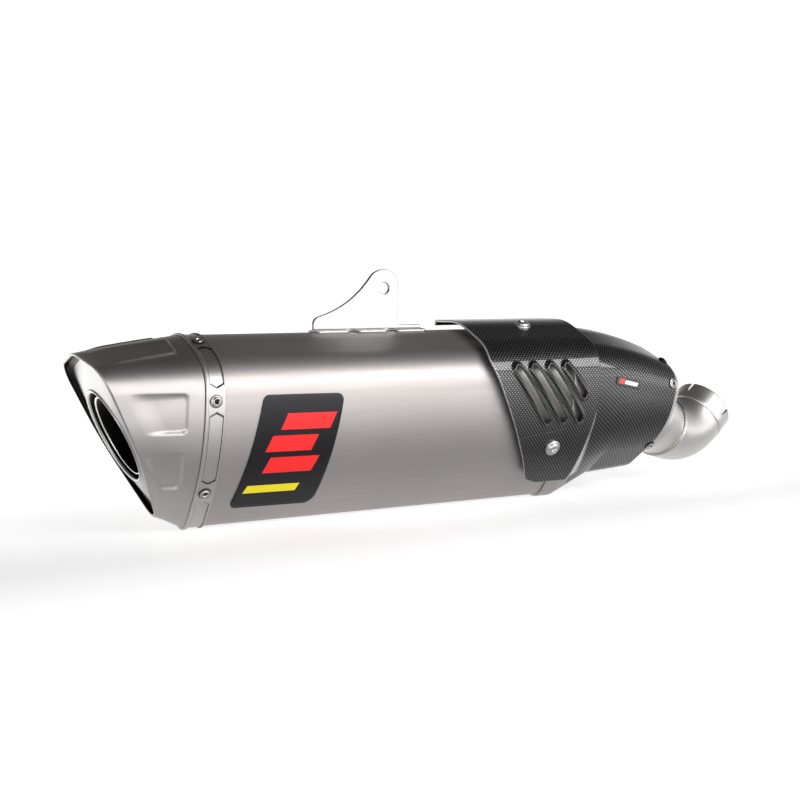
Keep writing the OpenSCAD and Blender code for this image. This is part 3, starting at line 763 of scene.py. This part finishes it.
# Outline of a rivet head from its foot to its middle, as places along its axis and radii
RIVET_PROFILE = [(-2, 0), (-2, 4.35), (0.25, 4.4), (0.55, 4.25), (0.7, 3.9), (0.75, 3.35), (1.0, 3.0),
                 (1.45, 2.75), (1.65, 2.4), (1.65, 2.0), (1.45, 1.75), (0.7, 1.6), (0.55, 1.3), (0.75, 0.9),
                 (0.9, 0)]


def make_rivets(name, places, node):
    """Round heads with a groove around them and a sunk middle, both drawn near black as painted shade."""
    slots = [1 if radius > 4.0 or radius < 1.65 else 0 for _, radius in RIVET_PROFILE]
    parts = [cap_lathe(name, RIVET_PROFILE, place, 40, row_slots=slots) for place in places]
    obj = join(parts, name)
    finish_piece(obj, "bright_steel", [RIVET_STEEL, BLACKENED_AND_SHADE], node)


def band_rivet_places():
    places = []
    for side in (-1, 1):
        for z in RIVET_Z:
            y, n = side_at(MID, z)
            seat = BAND_T - 0.1
            position = (BAND_W / 2, side * (y + n[0] * seat), z + n[1] * seat)
            places.append(frame_at(position, (side * n[0], n[1])))
    return places


def make_sleeve():
    """Thin sleeve with slightly rolled ends."""
    x = np.concatenate([[1], np.linspace(1.4, SLEEVE_END - 0.4, 40), [SLEEVE_END]])
    grow = np.concatenate([[-0.35], np.zeros(40), [-0.35]])
    outer = [straight_rows(q, g, 2) for q, g in zip(x, grow)]
    inner = [straight_rows(q, -1, 2) for q in (SLEEVE_END, 1)]
    obj = grid("sleeve_skin", np.array(outer + inner), close_cols=True, close_rows=True)
    finish_piece(obj, "titanium", [TITANIUM], "sleeve")


# ---------------------------------------------------------------- plates on the sleeve
def on_sleeve(points, height):
    """Points on the sleeve's outer side at X and Z, lifted by height."""
    y, n = side_at(MID, points[:, 1])
    return np.column_stack([points[:, 0], -(y + n[:, 0] * height), points[:, 1] + n[:, 1] * height])


def add_shares(obj, corners):
    """Second flat map that runs from 0 to 1 along both edges of a parallelogram of corners."""
    low_left, low_right, top_left = (np.array(corners[i], float) for i in (3, 2, 0))
    back = np.linalg.inv(np.column_stack([low_right - low_left, top_left - low_left]))
    n = len(obj.data.loops)
    flat = np.zeros(2 * n, np.float32)
    obj.data.uv_layers["flat"].data.foreach_get("uv", flat)
    share = (flat.reshape(-1, 2) - low_left) @ back.T
    layer = obj.data.uv_layers.new(name="share")
    layer.data.foreach_set("uv", share.astype(np.float32).ravel())


def make_emblem():
    corners = [(41, 28), (101, 27), (91.5, -53), (28, -52)]
    loop = split_edges(rounded(corners, [5, 5, 8, 4]), 2.5)
    obj = plate_on("emblem", loop, on_sleeve, 0.8, 0.45, 0.02, 14)
    add_shares(obj, corners)
    finish_piece(obj, "emblem", [EMBLEM], "emblem_plate")


def taper_u(x, y, z):
    """Share of the way from the taper's start to the tilted rim."""
    return np.maximum(0, (x - TAPER_START) / (RIM_X + RIM_SIDE * y + RIM_UP * z - TAPER_START))


def taper_section(u):
    """Cap section at share u of the taper; the keel (5) and the hip radius (8) change early."""
    if u < KEEL_KNEE:
        rise = KEEL_SHARE * u / KEEL_KNEE
    else:
        rise = mix(KEEL_SHARE, 1, (u - KEEL_KNEE) / (1 - KEEL_KNEE))
    s = mix(MID, INLET, u ** 1.85)
    s[[5, 8]] = mix(MID, INLET, rise)[[5, 8]]
    return s


# Half width from which the search for a point on the cap's side starts
FIRST_Y = 48.0


def on_cap_side(points, height, side=-1):
    """Points of the carbon cap's side at X and Z, lifted by height; each Y is found in a few rounds."""
    out = []
    for x, z in points:
        y = FIRST_Y
        for _ in range(4):
            u = float(taper_u(x, side * y, z))
            y, n = side_at(taper_section(u), z, CARBON)
        out.append((x, side * (y + n[0] * height), z + n[1] * height))
    return np.array(out)


def make_badge():
    corners = [(337, 30.5), (361, 25.5), (359.5, 18.5), (336, 23.5)]
    loop = split_edges(rounded(corners, [1, 1, 1, 1], 4), 2)
    obj = plate_on("cap_badge_plate", loop, on_cap_side, 0.8, 0.3, 0.05, 6)
    add_shares(obj, corners)
    finish_piece(obj, "emblem", [BADGE], "cap_badge")


# ---------------------------------------------------------------- carbon shield
# Middle line of each slot, from its upper to its lower end, in X and Z
SLOTS = [((240.5 + 14.8 * k, 38.5), (270 + 15.2 * k, -0.5)) for k in range(3)]
SLOTS.append(((284.9, 38.5), (301.5, 18)))
SLOT_R = 2.8
FLANGE = 23.0


def shield_path():
    """Profile of the shield in Y and Z: up the outer side, level past the ridge, then turned down."""
    side = outline(MID, SHIELD_GROW, 0.7)
    half = side[: len(side) // 2 + 2]
    half = half[(half[:, 1] >= SHIELD_LOW) & (half[:, 0] <= 0)]
    y, _ = side_at(MID, SHIELD_LOW, SHIELD_GROW)
    top = half[-1, 1]
    lip = corner_arc((0, top), (FLANGE, top), (FLANGE, top - 20), 3.0, 6)
    across = np.arange(half[-1, 0] + 0.9, lip[0, 0], 0.9)
    level = np.column_stack([across, np.full(len(across), top)])
    return np.vstack([[(-y, SHIELD_LOW)], half, level, lip, [(FLANGE, top - 4.5)]])


def shield_front(z, level):
    """Front edge: straight across the top, then swept back down the side, with a rounded low corner."""
    share = np.clip((47 - z) / 96, 0, None)
    sweep = 50 * share ** 1.15 + 9 * ramp(-z, 46, 52.5) ** 2
    return 218 + np.where(level, 0, sweep)


def shield_rear(z, level):
    """Where the rear bevel starts: it grows towards the low edge."""
    bevel = np.where(level, 1.2, 1.2 + 8.0 * np.clip((8 - z) / 60, 0, 1) ** 0.8)
    return 318 - bevel - np.where(level, 0, 1.5 * ramp(-z, 47, 52.5) ** 2)


def shield_relief(x, z):
    """Height of the slot rims and of the shallow step below them, and the distance to the nearest slot."""
    flat = np.stack([x, z], -1)
    rise = np.zeros(x.shape)
    away = np.full(x.shape, 1e9)
    for a, b in SLOTS:
        d, t = to_line(flat, a, b)
        away = np.minimum(away, d)
        height = mix(2.4, 1.3, t)
        rise = np.maximum(rise, height * (1 - ramp(d, SLOT_R + 0.7, SLOT_R + 3.0)))
    line = z - mix(-13.5, -8.5, (x - 253) / 38)
    step = -0.9 * ramp(-line, -0.8, 0.8) * ramp(x, 246, 256) * (1 - ramp(x, 288, 300)) * ramp(z, -30, -12)
    return rise + step, away


def make_shield():
    """Carbon shield: its profile swept in X, pierced by the slots and bevelled down at the rear."""
    path = shield_path()
    normal = side_normals(np.gradient(path, axis=0))
    run = np.concatenate([[0], np.cumsum(np.linalg.norm(np.diff(path, axis=0), axis=1))])
    z = path[:, 1]
    level = (path[:, 0] > -30) & (z > 40)
    front, rear = shield_front(z, level), shield_rear(z, level)
    share = np.linspace(0, 1, 200)[:, None]
    x = mix(front, rear, share)
    zz = np.repeat(z[None], len(share), 0)
    side = ~level & (z > -40) & (z < 60)
    rise, away = shield_relief(x, zz)
    rise, away = np.where(side, rise, 0), np.where(side, away, 1e9)
    # Points that nearly touch a slot's edge slide onto it, so that each opening gets a smooth rim.
    for a, b in SLOTS:
        flat = np.stack([x, zz], -1)
        d, t = to_line(flat, a, b)
        foot = np.asarray(a) + t[..., None] * (np.asarray(b, float) - a)
        out = (flat - foot) / np.maximum(d, 1e-6)[..., None]
        near = side & (np.abs(d - SLOT_R) < 0.46)
        moved = foot + out * SLOT_R
        away = np.where(near, SLOT_R, away)
        x = np.where(near, moved[..., 0], x)
        zz = np.where(near, moved[..., 1], zz)
    run_at = np.interp(zz, z[side], run[side])
    run_at = np.where(side, run_at, run)
    base_y = np.interp(run_at, run, path[:, 0])
    base_z = np.interp(run_at, run, path[:, 1])
    ny = np.interp(run_at, run, normal[:, 0])
    nz = np.interp(run_at, run, normal[:, 1])
    rows = np.stack([x, base_y + ny * rise, base_z + nz * rise], -1)
    uv = np.stack([x, run_at], -1)
    # Rear bevel down to the cap, one row of cells at a time
    bevel_rows, bevel_uv = [], []
    low = np.where(level, 0, np.clip((8 - z) / 60, 0, 1))
    for t in (0.33, 0.66, 1.0):
        sink = (SHIELD_GROW - CARBON - 0.9 + 3.2 * low) * t
        q = mix(rear, 318 + 5.5 * low, t)
        bevel_rows.append(np.column_stack([q, path - normal * sink[:, None]]))
        bevel_uv.append(np.column_stack([q + 3, run]))
    keep_rows = len(rows)
    rows = np.concatenate([rows, bevel_rows])
    uv = np.concatenate([uv, bevel_uv])
    cell = np.zeros((len(rows) - 1, len(path) - 1), bool)
    furthest = np.maximum(away[:-1], away[1:])
    furthest = np.maximum(furthest[:, :-1], furthest[:, 1:])
    cell[: keep_rows - 1] = furthest < SLOT_R + 0.001
    slots = np.zeros(len(rows), int)
    slots[keep_rows - 1:] = 1
    slots[0] = 1
    obj = grid("carbon_shield", rows, uv=uv, keep=~cell, row_slots=slots)
    thicken(obj, 1.7, even=False)
    finish_piece(obj, "carbon", [CARBON_CLOTH, CARBON_EDGE], "heat_shield")


# X and Z of the shield's screws
SCREWS = ((270, 63.0), (281.5, -20.0))


def screw_places():
    places = []
    for x, z in SCREWS:
        y, n = side_at(MID, z)
        position = (x, -(y + n[0] * SHIELD_GROW), z + n[1] * SHIELD_GROW)
        places.append(frame_at(position, (-n[0], n[1])))
    return places


# Smallest and largest ring of a screw's hexagon socket
SOCKET_R = (1.2, 2.65)


def hexagon(radius, angle):
    """Flattens the socket's rings, which are the small ones, to six sides."""
    side = np.cos(pi / 6) / np.cos((angle % (pi / 3)) - pi / 6)
    return np.where((radius > SOCKET_R[0]) & (radius < SOCKET_R[1]), radius * side, radius)


def make_screws():
    """Flanged button screws with a hexagon socket."""
    profile = [(-9, 0), (-9, 3), (-2.2, 3), (-2.2, 6.0), (0.0, 6.2), (0.7, 6.3), (1.1, 6.1), (1.25, 5.6),
               (1.3, 4.95), (1.7, 4.8), (2.5, 4.45), (3.1, 3.8), (3.4, 3.0), (3.35, 2.6), (3.1, 2.4),
               (1.2, 2.3), (1.1, 1.5), (1.1, 0)]
    parts = [cap_lathe("screw", profile, m, 48, shape=hexagon) for m in screw_places()]
    finish_piece(join(parts, "shield_bolts"), "bright_steel", [SCREW_STEEL], "shield_screws")


# ---------------------------------------------------------------- inlet end
def cap_rows(u, grow, back):
    """Outline of the cap at share u of its taper, grown and moved back from the rim."""
    p = outline(taper_section(u), grow)
    x = mix(TAPER_START, RIM_X + RIM_SIDE * p[:, 0] + RIM_UP * p[:, 1] - back, u)
    return np.column_stack([x, p])


# Rows of the cap from its front that are drawn in metal: its skirt and the first 20 mm or so of the taper
METAL_ROWS = 14


def make_inlet_cap():
    """Carbon cap with a metal skirt under the shield, a pale bevelled rim and a black inside."""
    rim_w, drop = 6.0, 2.6
    rows = [straight_rows(CAP_START, 0.2), straight_rows(CAP_START, CARBON - 0.4)]
    rows += [straight_rows(CAP_START + x, CARBON) for x in (0.5, 3, 6, 9)]
    us = np.linspace(0, 1 - rim_w / (RIM_X - TAPER_START), 60)
    rows += [cap_rows(u, CARBON, 0) for u in us]
    bevel_from = len(rows) - 1
    for t in (0.08, 0.3, 0.6, 0.85):
        rows.append(cap_rows(mix(us[-1], 1.0, t), mix(CARBON, CARBON - drop, t), 0))
    rows.append(cap_rows(1.0, CARBON - drop, 0.3))
    bevel_to = len(rows) - 1
    rows.append(cap_rows(1.0, CARBON - drop - 0.6, 0))
    rows.append(cap_rows(1.0, CARBON - drop - 1.3, 0.4))
    rows.append(cap_rows(1.0, CARBON - drop - 1.5, 8))
    rows.append(cap_rows(0.4, -2.6, 0))
    rows.append(straight_rows(CAP_START, 0.1))
    rows = np.array(rows)
    around = np.linalg.norm(np.diff(np.concatenate([rows, rows[:, :1]], 1), axis=1), axis=-1)
    around = np.concatenate([np.zeros((len(rows), 1)), np.cumsum(around, axis=1)], 1)
    around = np.concatenate([around, around[:1]])
    along = np.concatenate([[0], np.cumsum(np.linalg.norm(np.diff(rows, axis=0), axis=-1).mean(1)), [0]])
    uv = np.stack([np.repeat(along[:, None], around.shape[1], 1), around], -1)
    slots = np.zeros(len(rows), int)
    slots[:METAL_ROWS] = 3
    slots[bevel_from:bevel_to] = 1
    # The rim's inner face and the cap's inside are drawn black in the rubber finish
    slots[bevel_to:] = 2
    obj = grid("carbon_inlet_cap", rows, close_cols=True, close_rows=True, uv=uv, row_slots=slots)
    finish_piece(obj, "carbon", [CARBON_CLOTH, CARBON_EDGE, RUBBER, TITANIUM], "inlet_cap")


def cap_rivet_places():
    places = []
    for side in (-1, 1):
        for z in (39.0, 22.0, -30.0):
            x = TAPER_START + 0.9 * (RIM_X - TAPER_START + RIM_UP * z - side * 46 * -RIM_SIDE)
            low = on_cap_side([(x - 4, z)], 0, side)[0]
            here = on_cap_side([(x, z)], 0, side)[0]
            fall = abs(low[1]) - abs(here[1])
            _, n = side_at(taper_section(0.9), z, CARBON)
            places.append(frame_at(here, (side * n[0], n[1]), atan(fall / 4)))
    return places


# Bent inlet pipe: where the bend starts, how the pipe dips and yaws there, and the bend's angle and sizes
BEND_START = np.array([431.0, 3.0, -20.5])
DIP, YAW, BEND = radians(25), radians(12), radians(61)
BEND_R, PIPE_R, PIPE_T, SOCKET_L = 44.0, 25.0, 1.5, 18.0
NECK_R, PLATE_BACK = 30.0, 5.0
INLET_FRAME = Matrix.Translation(BEND_START) @ Matrix.Rotation(YAW, 4, "Z") @ Matrix.Rotation(DIP, 4, "Y")
INLET_AXIS = np.array(INLET_FRAME.to_3x3())[:, 0]
SOCKET_FRAME = (INLET_FRAME @ Matrix.Translation((BEND_R * sin(BEND), 0, BEND_R * (1 - cos(BEND))))
                @ Matrix.Rotation(-BEND, 4, "Y"))


def neck_at_plate(r, back, count=96):
    """Ring where a cylinder round the neck's axis meets the plane that lies back behind the rim."""
    normal = np.array([1, -RIM_SIDE, -RIM_UP])
    circle = matrix_points(INLET_FRAME, ring(0, r, round_turn(count)))
    gap = (RIM_X - back) - circle @ normal
    return circle + (gap / (INLET_AXIS @ normal))[:, None] * INLET_AXIS


def make_end_plate():
    """Plate behind the rim with a rolled edge and a hole for the neck."""
    edge = cap_rows(1.0, -2.55, PLATE_BACK)
    centre = neck_at_plate(NECK_R, PLATE_BACK).mean(0)
    hole = neck_at_plate(NECK_R - 0.4, PLATE_BACK, 720)
    angle = np.arctan2(edge[:, 2] - centre[2], edge[:, 1] - centre[1])
    hole_angle = np.arctan2(hole[:, 2] - centre[2], hole[:, 1] - centre[1])
    order = np.argsort(hole_angle)
    inner = [np.interp(angle, hole_angle[order], hole[order, k], period=2 * pi) for k in range(3)]
    inner = np.stack(inner, -1)
    rows = []
    for a in radians_list(0, 180, 7):
        row = cap_rows(1.0, -2.55 - 1.1 * (1 - cos(a)), PLATE_BACK)
        row[:, 0] += 1.4 * sin(a) - (2.0 if a == 0 else 0)
        rows.append(row)
    start = rows[-1]
    rows += [mix(start, inner, t) for t in np.linspace(0, 1, 12)[1:]]
    obj = grid("inlet_plate", np.array(rows), close_cols=True)
    thicken(obj, 1.4, even=False)
    finish_piece(obj, "bright_steel", [PIPE], "inlet_end_plate")


def make_neck():
    """Cone from the plate to the bend."""
    plane = neck_at_plate(NECK_R, PLATE_BACK + 3)
    rows = [plane]
    shape = [(-27, NECK_R), (-24, NECK_R - 0.5), (-18, NECK_R - 2.2), (-12, NECK_R - 3.9), (-8, NECK_R - 4.8),
             (-4, PIPE_R), (0, PIPE_R)]
    shape += [(x, r - PIPE_T) for x, r in shape[::-1]]
    rows += [matrix_points(INLET_FRAME, ring(x, r, round_turn(96))) for x, r in shape]
    on_axis = BEND_START + ((plane - BEND_START) @ INLET_AXIS)[:, None] * INLET_AXIS
    rows.append(mix(plane, on_axis, PIPE_T / NECK_R))
    obj = fix_normals(grid("neck_cone", np.array(rows), close_cols=True, close_rows=True))
    finish_piece(obj, "bright_steel", [PIPE], "inlet_neck")


def make_bend():
    angle = round_turn(96)
    rows = []
    for r, sweep in ((PIPE_R, np.linspace(0, BEND, 40)), (PIPE_R - PIPE_T, np.linspace(BEND, 0, 40))):
        for a in sweep:
            centre = np.array([BEND_R * sin(a), 0, BEND_R * (1 - cos(a))])
            up = np.array([-sin(a), 0, cos(a)])
            local = centre + r * (np.cos(angle)[:, None] * np.array([0, 1, 0]) + np.sin(angle)[:, None] * up)
            rows.append(matrix_points(INLET_FRAME, local))
    obj = fix_normals(grid("pipe_bend", np.array(rows), close_cols=True, close_rows=True))
    finish_piece(obj, "bright_steel", [PIPE], "inlet_bend")


def edge_index(edge):
    return edge.index


def fill_cuts(mesh):
    """Joins the two skins of a cut shell along the open edges of each cut."""
    loose = {e for e in mesh.edges if e.is_boundary}
    while loose:
        patch = {min(loose, key=edge_index)}
        loose -= patch
        grown = True
        while grown:
            near = {e for q in patch for v in q.verts for e in v.link_edges if e in loose}
            grown = bool(near)
            patch |= near
            loose -= near
        bmesh.ops.holes_fill(mesh, edges=sorted(patch, key=edge_index), sides=0)


def make_socket():
    """Swaged end of the pipe with four clamp slots."""
    count, slots, slot_w, slot_l = 288, 4, 3.0, 10.0
    angle = round_turn(count)
    outer, inner = PIPE_R + 0.5, 23.5
    spec = [(0.0, PIPE_R - 0.1), (1.2, outer), (4, outer), (SOCKET_L - slot_l - 0.5, outer)]
    spec += [(x, outer) for x in np.linspace(SOCKET_L - slot_l, SOCKET_L - 0.5, 12)]
    spec += [(SOCKET_L, outer - 0.4), (SOCKET_L, inner + 0.4)]
    spec += [(x, inner) for x in np.linspace(SOCKET_L - 0.5, SOCKET_L - slot_l, 12)]
    spec += [(SOCKET_L - slot_l - 0.5, inner), (4, inner), (0.0, inner)]
    x = np.array(spec)[:, 0]
    p = np.array([ring(*pair, angle) for pair in spec])
    middle = (angle + pi / count) % (2 * pi / slots)
    middle = np.minimum(middle, 2 * pi / slots - middle) * PIPE_R
    in_slot = x > SOCKET_L - slot_l - 0.25
    cut = (middle < slot_w / 2)[None] & (in_slot & np.roll(in_slot, -1))[:, None]
    obj = grid("slotted_socket", matrix_points(SOCKET_FRAME, p), close_cols=True, close_rows=True, keep=~cut)
    fix_normals(edit_mesh(obj, fill_cuts))
    finish_piece(obj, "bright_steel", [PIPE], "inlet_socket")


def make_welds():
    """Rippled beads where the neck meets the plate and where the pipe's bend starts."""
    count = 400
    plate_bead = weld_bead(neck_at_plate(NECK_R + 0.4, PLATE_BACK - 0.8, count), 1.5, 0.22, 70)
    joint = matrix_points(INLET_FRAME, ring(-2.0, PIPE_R, round_turn(count)))
    pipe_bead = weld_bead(joint, 1.15, 0.25, 60)
    finish_piece(join([plate_bead, pipe_bead], "weld_beads"), "bright_steel", [WELD], "bend_weld")


# ---------------------------------------------------------------- hanger
def outward(loop):
    """-1 or 1: the sign that turns a loop's side normals outwards."""
    return -1 if (np.roll(loop, -1, 0) - loop)[:, 0] @ loop[:, 1] > 0 else 1


def plate_wall(loop, sign, thick, edge):
    """Rows of an upright plate's edge wall, rounded towards both faces."""
    normal = side_normals(np.roll(loop, -1, axis=0) - np.roll(loop, 1, axis=0))
    rows = []
    for a in radians_list(0, 90, 4):
        rows.append((loop + normal * sign * edge * (1 - sin(a)), thick / 2 - edge * (1 - cos(a))))
    rows = rows + [(q, -y) for q, y in rows[::-1]]
    return [np.column_stack([q[:, 0], np.full(len(q), y), q[:, 1]]) for q, y in rows]


def make_hanger():
    """Upright plate on the saddle, with a round hole and a long swept flank; its edge walls are drawn dark as
    painted shade.
    """
    base = MID_TOP + 1.8
    hole_x, hole_z, hole_r, thick, edge = 160.0, 98.0, 4.25, 3.0, 0.45
    corners = [(-58, base), (-58, base + 8), (-27.6, base + 17.5), (-6.9, 112), (11.7, 112),
               (11.7, base + 2.6), (31, base + 2.6), (31, base)]
    outer = rounded([(hole_x + x, z) for x, z in corners], [0.5, 6, 75, 14, 11, 1.5, 1, 0.5], 12)
    hole = ring(0, hole_r, round_turn(48))[:, 1:] + (hole_x, hole_z)
    mesh = bmesh.new()
    rims = {1: [], -1: []}
    for loop, sign in ((outer, outward(outer)), (hole, -outward(hole))):
        rows = [[mesh.verts.new(ORIGIN + q * MM) for q in row] for row in plate_wall(loop, sign, thick, edge)]
        for a, b in zip(rows[:-1], rows[1:]):
            for j in range(len(a)):
                k = (j + 1) % len(a)
                side = mesh.faces.new((a[j], a[k], b[k], b[j]))
                side.smooth = True
                # Edge walls take the dark finish: painted shade
                side.material_index = 1
        for key, row in ((1, rows[0]), (-1, rows[-1])):
            rims[key] += [mesh.edges.get((row[j], row[(j + 1) % len(row)])) for j in range(len(row))]
    for edges in rims.values():
        bmesh.ops.triangle_fill(mesh, edges=edges, use_beauty=True)
    bmesh.ops.recalc_face_normals(mesh, faces=mesh.faces)
    data = bpy.data.meshes.new("hanger_plate")
    mesh.to_mesh(data)
    mesh.free()
    obj = add_object("hanger_plate", data)
    finish_piece(obj, "bright_steel", [HANGER, HANGER_SHADED_EDGE], "hanger_bracket")


def make_saddle():
    """Three feet that follow the sleeve's ridge."""
    ridge = outline(MID)
    top = ridge[ridge[:, 1] > 55]

    def on_ridge(points, height):
        z = np.interp(points[:, 1], top[:, 0], top[:, 1])
        return np.column_stack([points[:, 0], points[:, 1], z + height])

    parts = []
    for x, w in ((102, 26), (135, 24), (167, 25)):
        loop = split_edges(rounded([(x, -9), (x + w, -9), (x + w, 9), (x, 9)], [2.5] * 4, 6), 2)
        parts.append(plate_on("foot", loop, on_ridge, 1.8, 0.6, 0.05, 5))
    finish_piece(join(parts, "saddle_feet"), "bright_steel", [BAND_METAL], "hanger_saddle")


# ---------------------------------------------------------------- noise insert
def make_insert():
    """Removable noise insert: collar, funnel and neck, each on the CAD node that it stands for."""
    start, collar, funnel, neck = -18.0, 18.0, 22.0, 90.0
    r, wall, small, thin = 25.42, 1.5, 17.0, 1.2
    home = Matrix.Identity(4)
    a, b = start, start + collar
    collar_ring = [(a + 0.6, r), (a, r - 0.5), (a, r - wall + 0.5), (a + 0.6, r - wall),
                   (b, r - wall), (b, r)]
    c = b + funnel
    cone = [(b, r), (b, r - wall), (b + 6, r - wall - 1.2), (c - 5, small - thin + 0.8), (c, small - thin),
            (c, small), (c - 5, small + 0.8), (b + 6, r - 1.2)]
    d = c + neck
    tube = [(c, small), (c, small - thin), (d - 0.4, small - thin), (d, small - thin + 0.3), (d, small - 0.3),
            (d - 0.4, small)]
    for name, profile, node in (("insert_ring", collar_ring, "insert_collar"),
                                ("insert_cone", cone, "insert_funnel"),
                                ("insert_pipe", tube, "insert_neck")):
        obj = fix_normals(lathe(name, profile, home, 72))
        finish_piece(obj, "tube_dark", [BLACKENED_AND_SHADE], node, body="noise_insert")


# ---------------------------------------------------------------- build everything
make_cap()
make_bezel()
make_outlet_tube()
make_band()
make_rivets("band_rivet_heads", band_rivet_places(), "outlet_band_rivets")
make_sleeve()
make_emblem()
make_saddle()
make_hanger()
make_shield()
make_screws()
make_inlet_cap()
make_rivets("cap_rivet_heads", cap_rivet_places(), "inlet_cap_rivets")
make_badge()
make_end_plate()
make_neck()
make_bend()
make_welds()
make_socket()
make_insert()

# CAD nodes that stay in view keep their shape and get their finish here
CAD_LOOKS = {"insert_boss": HIDDEN_STEEL, "insert_screw": BLACKENED_AND_SHADE, "outlet_bulkhead": HIDDEN_STEEL,
             "perforated_core": BLACKENED_AND_SHADE, "steel_wool_wrap": WOOL, "glass_packing": PACKING,
             "inlet_bulkhead": HIDDEN_STEEL, "inlet_duct": BLACKENED_AND_SHADE, "inlet_can": HIDDEN_STEEL,
             "shield_spacers": RUBBER, "shield_nuts": HIDDEN_STEEL}
for node_name, looks in CAD_LOOKS.items():
    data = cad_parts[node_name].data
    data.materials.clear()
    data.materials.append(looks)
    data.polygons.foreach_set("use_smooth", [True] * len(data.polygons))
    data.set_sharp_from_angle(angle=radians(35))

# ---------------------------------------------------------------- stage, light and camera
FLOOR_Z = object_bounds()[0][2]
FLOOR_SIZE = 40.0

# Brightness of the room's walls and ceiling, and of the floor's glow in the metal's reflections near the
# muffler and far from it; the dim glow near the muffler is painted shade
WALL, CEILING = 0.8, 0.07
NEAR_TONE, FAR_TONE = 0.33, 2.1

# The floor's glow rises with the distance in Y from DARK_Y, between NEAR_Y and FAR_Y, in metres, so the floor
# near the muffler holds a painted shadow
DARK_Y, NEAR_Y, FAR_Y = -0.08, 0.01, 0.31


def make_floor():
    """Pale floor that glows, dimmer near the muffler: a painted shadow for the camera and painted shade in
    the metal's reflections, which see a wider range of tones in it than the camera does.
    """
    m = new_looks("pale_floor")
    grain = m.noise(30.0, 2.0)
    seen = m.node("ShaderNodeLightPath").outputs["Is Camera Ray"]
    place = m.split(m.node("ShaderNodeTexCoord").outputs["Object"])
    # Painted shadow and shade: the glow is weakest at DARK_Y and rises away from it
    away = m.math("ABSOLUTE", m.math("SUBTRACT", place[1], DARK_Y))
    camera_glow_painted_shadow = m.math("MULTIPLY", seen, m.span(away, NEAR_Y, FAR_Y, 0.48, 1.0))
    reflected_glow_painted_shade = m.span(away, NEAR_Y, FAR_Y, NEAR_TONE, FAR_TONE)
    reflected_glow_painted_shade = m.math("MULTIPLY", m.math("SUBTRACT", 1.0, seen), reflected_glow_painted_shade)
    m.set(Base_Color=m.blend(seen, rgb(0.1), m.blend(grain, rgb(0.78), rgb(0.82))), Roughness=0.9,
          Specular_IOR_Level=0.1, Emission_Color=rgb(1), Emission_Strength=m.math("ADD", camera_glow_painted_shadow, reflected_glow_painted_shade))
    mesh = bpy.data.meshes.new("floor")
    corners = [(x * FLOOR_SIZE, y * FLOOR_SIZE, FLOOR_Z) for x, y in ((-1, -1), (1, -1), (1, 1), (-1, 1))]
    mesh.from_pydata(corners, [], [(0, 1, 2, 3)])
    mesh.materials.append(m.owner)
    floor = add_object("floor", mesh)


def make_world():
    """Pale room whose ceiling is darker than its walls; the camera sees plain white."""
    world = bpy.data.worlds.new("studio")
    bpy.context.scene.world = world
    m = Looks(world, "Background")
    height = m.split(m.node("ShaderNodeTexCoord").outputs["Generated"])[2]
    room = m.span(height, 0.10, 0.62, WALL, CEILING, "SMOOTHSTEP")
    seen = m.node("ShaderNodeLightPath").outputs["Is Camera Ray"]
    level = m.node("ShaderNodeMix", Factor=seen, A=room, B=1.1)
    m.set(Color=rgb(1), Strength=level.outputs["Result"])


def area_light(name, position, target, size, power):
    light = bpy.data.lights.new(name, "AREA")
    light.shape = "RECTANGLE"
    light.size, light.size_y = size
    light.energy = power
    obj = add_object(name, light)
    obj.location = position
    obj.rotation_euler = (Vector(target) - Vector(position)).to_track_quat("-Z", "Y").to_euler()


def make_camera():
    """Camera at 29.5 degrees to the muffler's side, 5 degrees above level."""
    camera = bpy.data.cameras.new("camera")
    camera.sensor_width = 36.0
    camera.lens = 58.557
    obj = add_object("camera", camera)
    obj.location = (-0.463986, -0.845273, 0.003865)
    obj.rotation_euler = (radians(90 - 5.13774), 0, radians(-29.5))
    bpy.context.scene.camera = obj


make_floor()
make_world()
middle = tuple(ORIGIN + np.array([170, 0, 0]) * MM)
area_light("front_strip", (0.565, -1.05, 0.52), middle, (1.1, 0.40), 9.5)
area_light("front_low", (0.5, -1.0, 0.06), (0.3, 0.0, -0.1), (2.0, 0.36), 3.6)
area_light("left_box", (-1.6, -1.5, 0.2), middle, (1.2, 1.0), 9.0)
make_camera()
bpy.context.scene.view_settings.view_transform = "Standard"
